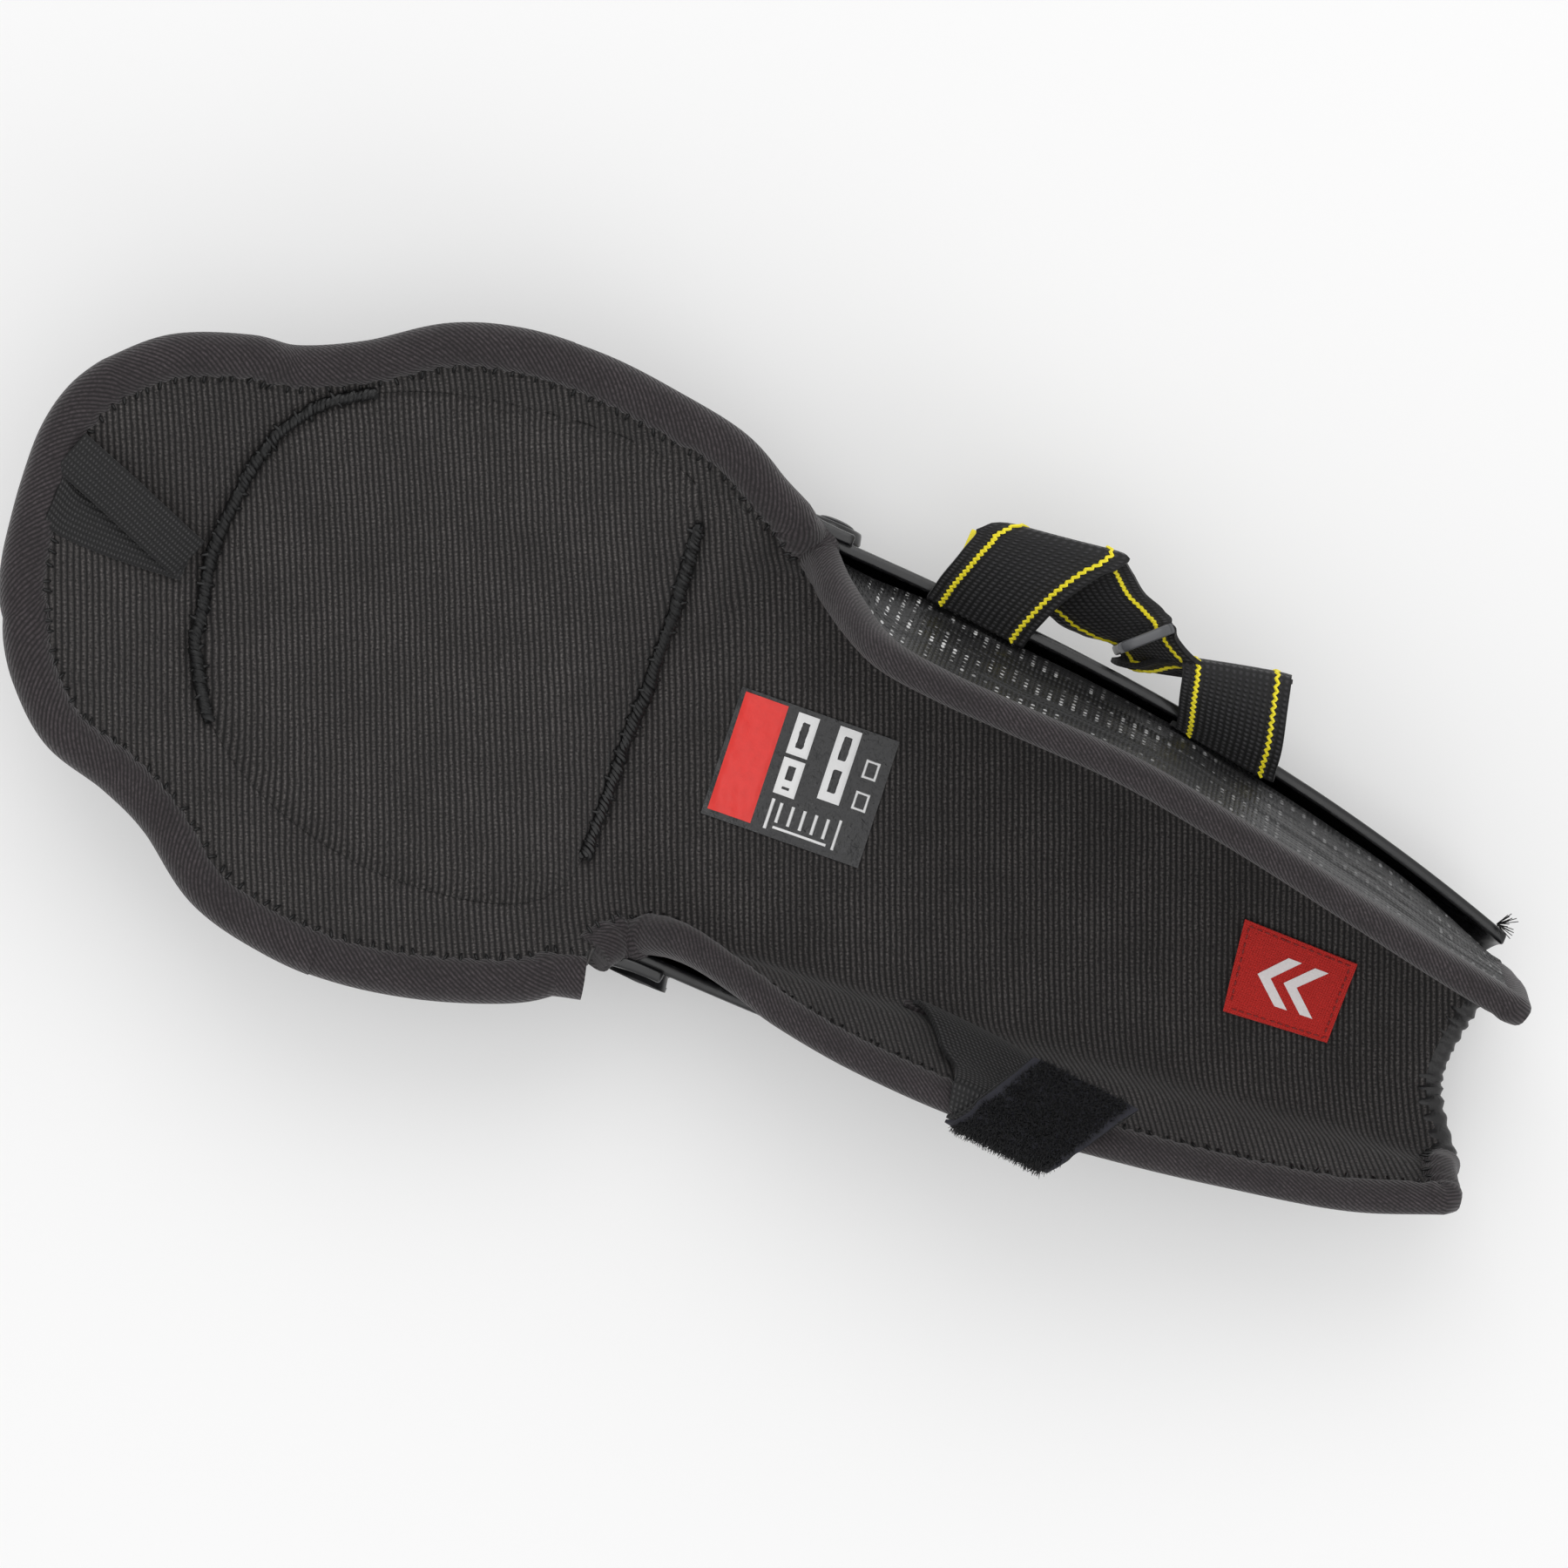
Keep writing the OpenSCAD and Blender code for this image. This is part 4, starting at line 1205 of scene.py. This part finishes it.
class OBJECT_OT_shin_guard_plates(bpy.types.Operator):
    """Builds the moulded knee cap, the shin plate and their rivets"""

    bl_idname = "object.shin_guard_plates"
    bl_label = "Plates and rivets"

    def execute(self, context):
        plastic = black_plastic()
        shin = shell_slab("shin_plate", 110, 90, shin_surface, relief_shin, plastic)
        bm = bmesh.new()
        box_bmesh(bm, (170, 0, 3.4), (136, 12.4, 6.8), 1.6)
        bmesh.ops.subdivide_edges(bm, edges=bm.edges[:], cuts=2, use_grid_fill=True)
        for v in bm.verts:
            down = max(0.0, min(1.0, v.co.z / 6.8))
            v.co.y *= 1 + 0.75 * down
            v.co.x += (8 if v.co.x > 170 else -8) * down * ease(55, 68, abs(v.co.x - 170))
        rib = from_bmesh("shin_rib", bm, plastic)
        shin = join("shin_plate", [shin, rib])
        cap = shell_slab("knee_shell", 90, 96, cap_surface, relief_cap, plastic)
        bm = bmesh.new()
        for side in (1, -1):
            made = bmesh.ops.create_cone(bm, cap_ends=True, segments=40, radius1=7.5, radius2=6.6, depth=3.2)["verts"]
            for v in made:
                v.co = Vector((PIVOT_X + v.co.x, side * (BOSS_Y + side * v.co.z), PIVOT_Z + v.co.y))
        edges = [e for e in bm.edges if len(e.link_faces) == 2 and e.calc_face_angle(0) > 1.0]
        bmesh.ops.bevel(bm, geom=edges, offset=0.6, affect="EDGES", segments=2, profile=0.5, material=-1)
        bosses = from_bmesh("knee_bosses", bm, plastic)
        bm = bmesh.new()
        bmesh.ops.create_cone(bm, cap_ends=True, segments=64, radius1=14, radius2=13.4, depth=2.5)
        for v in bm.verts:
            v.co.z = 2.5 if v.co.z > 0 else 0.02
        disc = from_bmesh("knee_face", bm, plastic)
        cap = join("knee_shell", [cap, bosses, disc])
        steel = speckled("rivet steel", shade(172, 172, 176), 0.28, 0.002, 0.15, 0.00005, metal=1.0)
        bm = bmesh.new()
        for x, y in FLOOR_RIVETS:
            for side in (1, -1):
                dome(bm, (x, side * y, 6.0), (0, 0, -1), 4.5, 1.8, 3.5, 2)
                dome(bm, (x, side * y, 9.0), (0, 0, 1), 4.0, 1.2, 3.5, 2)
        floor_rivets = from_bmesh("floor_rivets", bm, steel)
        bm = bmesh.new()
        for side in (1, -1):
            dome(bm, (PIVOT_X, side * PIVOT_Y, PIVOT_Z), (0, side, 0), 4.6, 1.0, 8, 1.95)
            dome(bm, (PIVOT_X, side * 53.2, PIVOT_Z), (0, -side, 0), 3.6, 1.5, 0.8, 1.95)
        pivot_rivets = from_bmesh("pivot_rivets", bm, steel)
        pivot_rivets.data.materials[0] = speckled("blackened steel", shade(40, 40, 42), 0.35, 0.002, 0.2, 0.00005,
                                                  metal=1.0)
        for obj, node in ((floor_rivets, "shin_rivets"), (pivot_rivets, "knee_pivot_rivets")):
            own(obj, "rivet", "shin", node)
        own(shin, "shell", "shin", "shin_shell")
        own(cap, "shell", "knee", "knee_cap")
        rng = random.Random(5)
        tip = np.array([256.5, 35.4, 30.5])
        tuft = []
        for k in range(26):
            lean = unit(np.array([rng.uniform(0.2, 1), rng.uniform(-0.5, 0.9), rng.uniform(0.1, 0.8)]))
            reach = rng.uniform(2.2, 5.4)
            drop = np.array([rng.uniform(-0.6, 0.6), rng.uniform(-0.6, 0.6), rng.uniform(-0.9, 0.3)])
            line = even([tip, tip + lean * reach * 0.5 + drop * 0.4, tip + lean * reach + drop], 7)
            tuft.append(tube(f"tuft_{k}", line, 0.11, black_thread(), None, 4))
        tuft = join("thread_tuft", tuft)
        own(tuft, "webbing", "shin")
        return {"FINISHED"}


# ---------------------------------------------------------------- straps

STRAP_PATH = [[112, 51.5, 37.3], [113.2, 57, 41.8], [116, 65, 46.4], [119.5, 72, 48.6], [122.4, 76, 48.8],
              [123.6, 77.4, 47.4], [124.4, 76.0, 45.6], [128.5, 72.2, 42.6], [134.5, 68.0, 39.6], [140.5, 65.6, 38.4],
              [145.5, 64.2, 38.6], [150.5, 63.4, 38.6], [156, 61.4, 36.2], [161.5, 60.2, 34.2], [167, 61.5, 34.8],
              [171, 64.2, 38.2], [173, 65.9, 42.4], [174.2, 64.4, 45.2], [176.2, 58, 44.4], [178.4, 51.2, 41],
              [179.6, 46.4, 36.8]]
STRAP_ACROSS = [[1, -0.07, 0], [1, -0.03, 0], [1, 0.04, 0], [0.99, 0.11, 0], [0.988, 0.156, 0], [0.988, 0.16, 0],
                [0.98, 0.19, 0], [0.93, 0.27, 0.15], [0.85, 0.32, 0.35], [0.74, 0.33, 0.55],
                [0.6, 0.3, 0.75], [0.52, 0.22, 0.83], [0.64, 0.16, 0.75], [0.86, 0.22, 0.42], [0.95, 0.27, 0.12],
                [0.966, 0.26, 0.02], [0.968, 0.25, 0], [0.97, 0.22, 0], [0.98, 0.12, 0], [1, 0, 0], [1, -0.1, 0]]


def zigzag(name, line, wide, at, width, thick, mat, pitch=1.5, swing=0.42):
    """Zigzag thread over both faces of a tape, along a line inset from its edge."""
    line, wide = np.asarray(line, float), unit(wide)
    wide, up = tape_frame(line, wide)
    run = run_of(line)
    radius = sizes().thread_radius / MM
    count = int(run[-1] / pitch * 6)
    s = np.linspace(0, run[-1], count)
    wave_at = np.abs((s / pitch) % 1 - 0.5) * 4 - 1
    pieces = []
    for face in (1, -1):
        base, w, n = along(s, run, line), along(s, run, wide), unit(along(s, run, up))
        path = base + w * (at * width / 2 + swing * wave_at)[:, None] + n * face * (thick / 2 + radius * 0.25)
        pieces.append(tube(f"{name}_{face}", path, radius, mat, n, 5))
    return join(name, pieces)


class OBJECT_OT_shin_guard_elastic(bpy.types.Operator):
    """Builds the elastic strap with its coloured threads, its sewn ends, side tab and ring"""

    bl_idname = "object.shin_guard_elastic"
    bl_label = "Elastic strap and ring"

    def execute(self, context):
        width = sizes().strap_width / MM
        web = webbing_material("elastic webbing", shade(9, 9, 10), shade(64, 63, 66))
        both = even(np.hstack([STRAP_PATH, STRAP_ACROSS]), 150, 30)
        line, wide = both[:, :3], unit(both[:, 3:])
        strap = ribbon("elastic_strap", line, wide, width, ELASTIC_THICK, web, 14, 0.2)
        own(strap, "webbing", "strap", "elastic_strap")
        for k, at in enumerate((-0.72, 0.74)):
            thread = zigzag(f"strap_thread_{k}", line, wide, at, width, ELASTIC_THICK, accent_thread())
            own(thread, "accent", "strap")
        bm = bmesh.new()
        box_bmesh(bm, (105.4, 67.0, 44.4), (6.4, 8.2, 1.5), 0.35)
        tab = from_bmesh("strap_tab", bm, speckled("accent tab", tuple(colours().accent), 0.45, 0.001, 0.12, 0.0001))
        own(tab, "accent", "strap", "strap_tab")
        anchors = []
        for k, x in enumerate((112, 178)):
            y = float(shin_w(x)) - 3.6
            path = even([[x, y - 1.4, 24.5], [x, y - 0.5, 30], [x, y - 0.2, 35.5]], 14)
            wide = np.tile([1, -0.07, 0], (len(path), 1))
            anchors.append(ribbon(f"anchor_{k}", path, wide, width, ELASTIC_THICK, web, 10))
        anchors = join("strap_anchors", anchors)
        own(anchors, "webbing", "shin", "strap_anchor")
        bm = bmesh.new()
        corners = [(-1, -1), (1, -1), (1, 1), (-1, 1)]
        loop = []
        for cy, cz in corners:
            for t in np.linspace(0, np.pi / 2, 7):
                turn = np.arctan2(cz, cy) - np.pi / 4 + t
                loop.append([0, cy * 3.2 + 2.4 * math.cos(turn), cz * 12.2 + 2.4 * math.sin(turn)])
        loop.append(loop[0])
        bm.free()
        loop = even(np.array(loop), 90)
        turn = math.radians(-45)
        spin = np.array([[math.cos(turn), -math.sin(turn), 0], [math.sin(turn), math.cos(turn), 0], [0, 0, 1]])
        loop = loop @ spin.T + np.array([150.5, 63.5, 39])
        ups = np.tile(spin @ np.array([1.0, 0, 0]), (len(loop), 1))
        grey = shell_material("grey plastic", shade(78, 79, 82), 0.38)
        square = lambda run, t: (1.25 * np.sign(np.cos(t)) * np.abs(np.cos(t)) ** 0.5,
                                 1.15 * np.sign(np.sin(t)) * np.abs(np.sin(t)) ** 0.5)
        ring = tube("strap_ring", loop, 1.15, grey, ups, 16, square, closed=True)
        own(ring, "ring", "ring", "strap_ring")
        return {"FINISHED"}


# The closure's way up the right wing: where on the lining, and how high over it
CLOSURE_RISE = ((16.6, 4.38, -0.8), (16.68, 4.62, 1.3), (16.8, 4.95, 1.6), (16.95, 5.35, 1.7), (17.1, 5.72, 1.9))
PILE_FIBRES = 8200


class OBJECT_OT_shin_guard_closure(bpy.types.Operator):
    """Builds the closure strap out of the right wing, its folded tab and the tab's pile"""

    bl_idname = "object.shin_guard_closure"
    bl_label = "Closure"

    def execute(self, context):
        width = sizes().strap_width / MM - 1.5
        web = webbing_material("closure webbing", shade(10, 10, 11), shade(70, 69, 70), 0.0013, 0.0011)
        foot = [lining_point(u, v) + lining_normal(u, v) * h for u, v, h in CLOSURE_RISE]
        rim = lining_point(17.22, 6) - lining_normal(17.22, 6) * 0.8

        def reach(r, degrees, dx):
            turn = math.radians(degrees)
            return rim + np.array([dx, -r * math.cos(turn), r * math.sin(turn)])

        base = even(foot + [reach(5.3, d, -2.4 + 0.7 * k) for k, d in enumerate((112, 86, 60, 36, 14))], 80)
        wide = np.tile([1, -0.04, 0], (len(base), 1))
        strap = ribbon("closure_strap", base, wide, width, 1.6, web, 12, 0.2)
        own(strap, "webbing", "right_wing", "closure_base")
        lip = even([foot[0] + d for d in ((0, 0, 0.5), (0.2, -0.8, 1.4), (0.4, -1.2, 2.2))], 6)
        slit = ribbon("closure_slit", lip, np.tile([1, -0.05, 0], (6, 1)), width + 4.5, 1.0, binding_twill(), 16)
        own(slit, "lining", "right_wing")
        over = [reach(6.9 + 0.1 * k, 12 + 26 * k, 0.6 + 1.6 * k) for k in range(4)]
        tab_end = [over[-1] + np.array(d) for d in ((2.6, 4.6, 0.9), (5.4, 9.4, 0.9), (8.3, 14.0, -0.4))]
        tab_line = even(over + tab_end, 60)
        tab_wide = np.tile([1, -0.05, 0.0], (len(tab_line), 1))
        tab = ribbon("closure_tab", tab_line, tab_wide, width, 1.4, web, 12, 0.1)
        own(tab, "webbing", "closure", "closure_tab")
        d = unit(np.gradient(tab_line, axis=0))
        up = unit(np.cross(d, tab_wide))
        up = up * np.where(up[:, 2:3] < 0, -1, 1) if up[len(up) // 2, 2] > 0 else -up
        pad = ribbon("pile_backing", tab_line + up * 1.3, tab_wide, width - 0.6, 1.2,
                     speckled("pile", shade(14, 14, 15), 0.95, 0.0007, 0.6, 0.0005, sheen=0.25), 12)
        bm = bmesh.new()
        rng = random.Random(14)
        for _ in range(PILE_FIBRES):
            i = rng.uniform(0, len(tab_line) - 1.001)
            k, f = int(i), i - int(i)
            base_at = mix(tab_line[k], tab_line[k + 1], f) + up[k] * 1.6
            base_at = base_at + unit(tab_wide[k]) * rng.uniform(-0.5, 0.5) * (width - 1)
            lean = unit(up[k] + np.array([rng.gauss(0, 0.55), rng.gauss(0, 0.55), rng.gauss(0, 0.3)]))
            curl = unit(np.cross(lean, [rng.gauss(0, 1), rng.gauss(0, 1), rng.gauss(0, 1)]))
            long = rng.uniform(1.0, 2.4)
            fibre = bmesh.ops.create_cone(bm, cap_ends=True, segments=3, radius1=0.12, radius2=0.05, depth=1)
            bend = rng.uniform(-0.7, 0.7)
            side = unit(np.cross(lean, curl))
            for v in fibre["verts"]:
                t = v.co.z + 0.5
                v.co = Vector(base_at + lean * long * t + curl * (bend * t * t + v.co.x) + side * v.co.y)
        fibres = from_bmesh("pile_fibres", bm, speckled("pile fibre", shade(24, 24, 26), 0.7, 0.0007, 0.5, 0.0001), 180)
        pile = join("closure_pile", [pad, fibres])
        own(pile, "pile", "closure", "closure_pile")
        return {"FINISHED"}


class OBJECT_OT_shin_guard_pull_loop(bpy.types.Operator):
    """Builds the pull loop of folded tape on the thigh flap"""

    bl_idname = "object.shin_guard_pull_loop"
    bl_label = "Pull loop"

    def execute(self, context):
        web = webbing_material("pull tape", shade(12, 12, 13), shade(78, 77, 78), 0.0009, 0.0013)
        top = [(-100.5, 1.5, 3.6), (-94, -0.8, 4.2), (-86, -3.6, 4.6), (-78, -6.6, 4.6), (-71, -9.2, 4.0),
               (-66.8, -10.7, 2.8)]
        low = [(-100.0, -10.5, 3.0), (-95, -12.4, 1.4), (-86, -12.5, 1.2), (-78, -11.9, 1.2), (-71, -11.2, 1.4),
               (-66.9, -10.7, 1.7)]
        for name, path, lean, body in (("pull_tape", top, 0.36, "pull"), ("pull_tape_base", low, -0.02, "thigh")):
            line = even([[x, y, float(bowl_at(x, y)) + h] for x, y, h in path], 50)
            slope = bowl_at(line[:, 0], line[:, 1] + 0.5) - bowl_at(line[:, 0], line[:, 1] - 0.5)
            wide = np.stack([np.full(len(line), lean), np.ones(len(line)), slope], 1)
            obj = ribbon(name, line, wide, 11.2, 0.9, web, 10, 0.15)
            own(obj, "webbing", body, *(["pull_loop"] if body == "pull" else []))
        return {"FINISHED"}


# ---------------------------------------------------------------- labels

def floor_point(x, y):
    """Point on the shin lining under a place on the leg side, with the way the cloth faces."""
    table_p, table_n = floor_table()
    d = (table_p[:, 0] - x) ** 2 + (table_p[:, 1] - y) ** 2
    near = np.argsort(d)[:4]
    w = 1 / (d[near] + 0.01)
    return (table_p[near] * w[:, None]).sum(0) / w.sum(), unit((table_n[near] * w[:, None]).sum(0))


_floor = {}


def floor_table():
    if not _floor:
        u, v = np.meshgrid(np.linspace(10, LAST, 240), np.linspace(1.8, 4.2, 90))
        u, v = u.ravel(), v.ravel()
        n = lining_normal(u, v)
        _floor["p"], _floor["n"] = soften(u, v, lining_point(u, v), n), n
    return _floor["p"], _floor["n"]


def patch(name, corners, lift, thick, mat, n=16, m=16, crinkle=0.0, seed=1):
    """Thin piece lying on the shin lining between four corners given in order round it."""
    c = np.array(corners, float)

    def place(a, b, s):
        flat = (c[0] * ((1 - a) * (1 - b))[:, None] + c[1] * (a * (1 - b))[:, None]
                + c[2] * (a * b)[:, None] + c[3] * ((1 - a) * b)[:, None])
        out, ups = np.empty((len(a), 3)), np.empty((len(a), 3))
        for i, (x, y) in enumerate(flat):
            out[i], ups[i] = floor_point(x, y)
            out[i, 0], out[i, 1] = x, y
        edge = np.minimum(np.minimum(a, 1 - a), np.minimum(b, 1 - b))
        creases = wander(flat[:, 0] + 0.4 * flat[:, 1], seed, 2.6) * wander(flat[:, 1], seed + 1, 4)
        h = lift + s * thick + crinkle * creases
        h = h + 0.25 * ease(0, 0.1, edge) * (crinkle > 0)
        return out + ups * h[:, None], flat

    return slab(name, n, m, place, mat, 50)


LABEL_AXES = (np.array([69.9, -17.4]), np.array([0.997, 0.075]), np.array([-0.093, 0.9957]))


def on_label(x, y):
    origin, along, up = LABEL_AXES
    return origin + along * x + up * y


def label_block(x0, x1, y0, y1):
    return [on_label(x0, y0), on_label(x1, y0), on_label(x1, y1), on_label(x0, y1)]


# Printed shapes, each from one place to another along the label and then up it
LABEL_BOXES = ((15.0, 20.4, 10.6, 19.8), (15.0, 20.4, 20.8, 31.2), (25.6, 31.2, 12.8, 31.4))
LABEL_MARKS = ((15.4, 16.2, 1.6, 9.2), (32.6, 33.3, 2.0, 9.6), (17.6, 31.2, 2.2, 2.9),
               *((17.6 + 3 * k, 18.4 + 3 * k, 3.8, 8.8) for k in range(5)))
LABEL_BARS = ((16.3, 19.0, 12.0, 12.8), (16.3, 19.0, 14.2, 18.4), (16.3, 19.0, 22.2, 29.8),
              (26.9, 29.9, 14.6, 21.4), (26.9, 29.9, 22.8, 29.9))
LABEL_FRAMES = [(34.2 + a, 34.2 + b, y0 + c, y0 + d) for y0 in (13.2, 21.2)
                for a, b, c, d in ((0, 3.6, 0, 0.6), (0, 3.6, 4.0, 4.6), (0, 0.6, 0, 4.6), (3.0, 3.6, 0, 4.6))]


class OBJECT_OT_shin_guard_labels(bpy.types.Operator):
    """Builds the size label with plain blocks and the sewn badge with a plain chevron"""

    bl_idname = "object.shin_guard_labels"
    bl_label = "Size label and badge"

    def execute(self, context):
        red = tuple(colours().label)
        film = speckled("label film", shade(26, 26, 28), 0.24, 0.0022, 0.6, 0.0008)
        panel = speckled("label red", red, 0.38, 0.002, 0.1, 0.0002)
        white = speckled("label white", shade(232, 232, 232), 0.42, 0.002, 0.06, 0.0001)
        blocks = [
            patch("label_film", label_block(0, 40.4, 0, 32.4), 0.3, 0.3, film, 40, 34, FILM_CRINKLE, 3),
            patch("label_panel", label_block(1.2, 12.2, 1.6, 31.6), PRINT_LIFT - 0.02, PRINT_THICK, panel, 22, 34,
                  FILM_CRINKLE, 3),
        ]
        for kind, places, mat, lift, n, m in (
                ("box", LABEL_BOXES, white, PRINT_LIFT, 10, 18), ("mark", LABEL_MARKS, white, PRINT_LIFT, 3, 8),
                ("bar", LABEL_BARS, film, PRINT_LIFT + 0.1, 4, 8), ("frame", LABEL_FRAMES, white, PRINT_LIFT, 4, 4)):
            for k, place in enumerate(places):
                blocks.append(patch(f"label_{kind}_{k}", label_block(*place), lift, PRINT_THICK, mat, n, m,
                                    FILM_CRINKLE, 3))
        label = join("size_label", blocks)
        own(label, "label", "shin", "size_label")
        corners = [(205.1, -10.6), (231.3, -7.5), (230.3, 13.3), (201.0, 12.3)]
        woven = webbing_material("badge weave", toned(red, 0.72), toned(red, 1.25), 0.0006, 0.0006)
        badge = patch("badge_ground", corners, 0.55, 0.7, woven, 30, 26)
        c = np.array(corners, float)
        at = lambda a, b: c[0] * (1 - a) * (1 - b) + c[1] * a * (1 - b) + c[2] * a * b + c[3] * (1 - a) * b
        pale = speckled("badge thread", shade(236, 230, 230), 0.6, 0.0006, 0.12, 0.0002)
        marks = [badge]
        shapes = [[(x, 0.5), (x + 0.12, 0.5), (x + 0.34, y), (x + 0.22, y)]
                  for x in (0.22, 0.46) for y in (0.78, 0.22)]
        for k, quad in enumerate(shapes):
            marks.append(patch(f"badge_mark_{k}", [at(*q) for q in quad], 1.2, 0.22, pale, 12, 12))
        badge = join("badge_patch", marks)
        ring = [at(0.05, 0.05), at(0.95, 0.05), at(0.95, 0.95), at(0.05, 0.95), at(0.05, 0.05)]
        edge = np.vstack([np.linspace(ring[k], ring[k + 1], 40)[:-1] for k in range(4)])
        line = np.array([np.append(p, floor_point(*p)[0][2]) + floor_point(*p)[1] * 1.35 for p in edge])
        ups = np.array([floor_point(*p)[1] for p in edge])
        dark = speckled("badge stitch", toned(red, 0.32), 0.6, 0.0006, 0.2, 0.0002)
        bm = bmesh.new()
        run = run_of(line)
        d, side, up = frames(line, ups)
        for k in range(int(run[-1] / 1.9)):
            i = int(np.searchsorted(run, (k + 0.5) * 1.9))
            i = min(i, len(line) - 1)
            for v in bmesh.ops.create_uvsphere(bm, u_segments=6, v_segments=5, radius=1)["verts"]:
                p, q, r = v.co
                v.co = Vector(line[i] + d[i] * r * 0.72 + side[i] * p * 0.24 + up[i] * q * 0.2)
        stitches = from_bmesh("badge_stitches", bm, dark, 60)
        own(badge, "badge", "shin", "badge_patch")
        own(stitches, "badge", "shin")
        return {"FINISHED"}


# ---------------------------------------------------------------- stage

# In millimetres
SENSOR, LENS = 36, 149


class OBJECT_OT_shin_guard_stage(bpy.types.Operator):
    """Sets the pale floor, the soft lights and the camera straight above the guard"""

    bl_idname = "object.shin_guard_stage"
    bl_label = "Stage"

    def execute(self, context):
        scene = context.scene
        bm = bmesh.new()
        bmesh.ops.create_grid(bm, x_segments=1, y_segments=1, size=6.0)
        for v in bm.verts:
            v.co.z = -0.0005
        me = bpy.data.meshes.new("floor")
        bm.to_mesh(me)
        bm.free()
        floor = bpy.data.objects.new("floor", me)
        scene.collection.objects.link(floor)
        paper, _, shader = plain("white sweep", shade(226, 226, 226), 0.9, spec=0.1)
        shader.inputs["Emission Color"].default_value = (1, 1, 1, 1)
        shader.inputs["Emission Strength"].default_value = 0.16
        me.materials.append(paper)

        def area(name, place, aim, size, watts, colour=(1, 1, 1)):
            light = bpy.data.lights.new(name, "AREA")
            light.shape, light.size, light.energy, light.color = "DISK", size, watts, colour
            obj = bpy.data.objects.new(name, light)
            obj.location = place
            obj.rotation_euler = (Vector(aim) - Vector(place)).to_track_quat("-Z", "Y").to_euler()
            scene.collection.objects.link(obj)

        area("key_softbox", (-0.35, 1.1, 1.7), (0.08, 0.0, 0.03), 1.4, 7.5)
        area("overhead_softbox", (0.25, -0.15, 2.1), (0.08, 0.0, 0.03), 1.6, 5)
        area("edge_softbox", (1.3, -0.9, 1.2), (0.1, 0.0, 0.03), 1.0, 3)
        world = bpy.data.worlds.new("studio")
        world.use_nodes = True
        world.node_tree.nodes["Background"].inputs["Color"].default_value = (1, 1, 1, 1)
        world.node_tree.nodes["Background"].inputs["Strength"].default_value = 0.8
        scene.world = world
        cam = bpy.data.cameras.new("camera")
        cam.sensor_width, cam.lens = SENSOR, LENS
        cam.clip_start, cam.clip_end = 0.1, 20
        obj = bpy.data.objects.new("camera", cam)
        obj.location = [v * MM for v in (*VIEW_CENTRE, VIEW_HEIGHT)]
        obj.rotation_euler = (0, 0, GRAIN)
        scene.collection.objects.link(obj)
        scene.camera = obj
        scene.view_settings.view_transform = "Standard"
        return {"FINISHED"}


BUILDERS = (
    OBJECT_OT_shin_guard_plates, OBJECT_OT_shin_guard_lining, OBJECT_OT_shin_guard_covers,
    OBJECT_OT_shin_guard_bindings, OBJECT_OT_shin_guard_pillow, OBJECT_OT_shin_guard_elastic,
    OBJECT_OT_shin_guard_closure, OBJECT_OT_shin_guard_pull_loop, OBJECT_OT_shin_guard_labels,
    OBJECT_OT_shin_guard_stage,
)


class VIEW3D_PT_shin_guard(bpy.types.Panel):
    """Lists the guard's pieces, sizes and colours"""

    bl_idname = "VIEW3D_PT_shin_guard"
    bl_label = "Youth shin guard"
    bl_space_type = "VIEW_3D"
    bl_region_type = "UI"
    bl_category = "Shin guard"

    def draw(self, context):
        for group in (context.scene.shin_guard_sizes, context.scene.shin_guard_colours):
            box = self.layout.box()
            for key in group.__annotations__:
                box.prop(group, key)
        for builder in BUILDERS:
            self.layout.operator(builder.bl_idname)


CLASSES = (ShinGuardSizes, ShinGuardColours) + BUILDERS + (VIEW3D_PT_shin_guard,)


def register():
    for cls in CLASSES:
        bpy.utils.register_class(cls)
    bpy.types.Scene.shin_guard_sizes = bpy.props.PointerProperty(type=ShinGuardSizes)
    bpy.types.Scene.shin_guard_colours = bpy.props.PointerProperty(type=ShinGuardColours)


def unregister():
    del bpy.types.Scene.shin_guard_colours
    del bpy.types.Scene.shin_guard_sizes
    for cls in reversed(CLASSES):
        bpy.utils.unregister_class(cls)


def main():
    register()
    for builder in BUILDERS:
        group, name = builder.bl_idname.split(".")
        getattr(getattr(bpy.ops, group), name)()


if __name__ == "__main__":
    main()
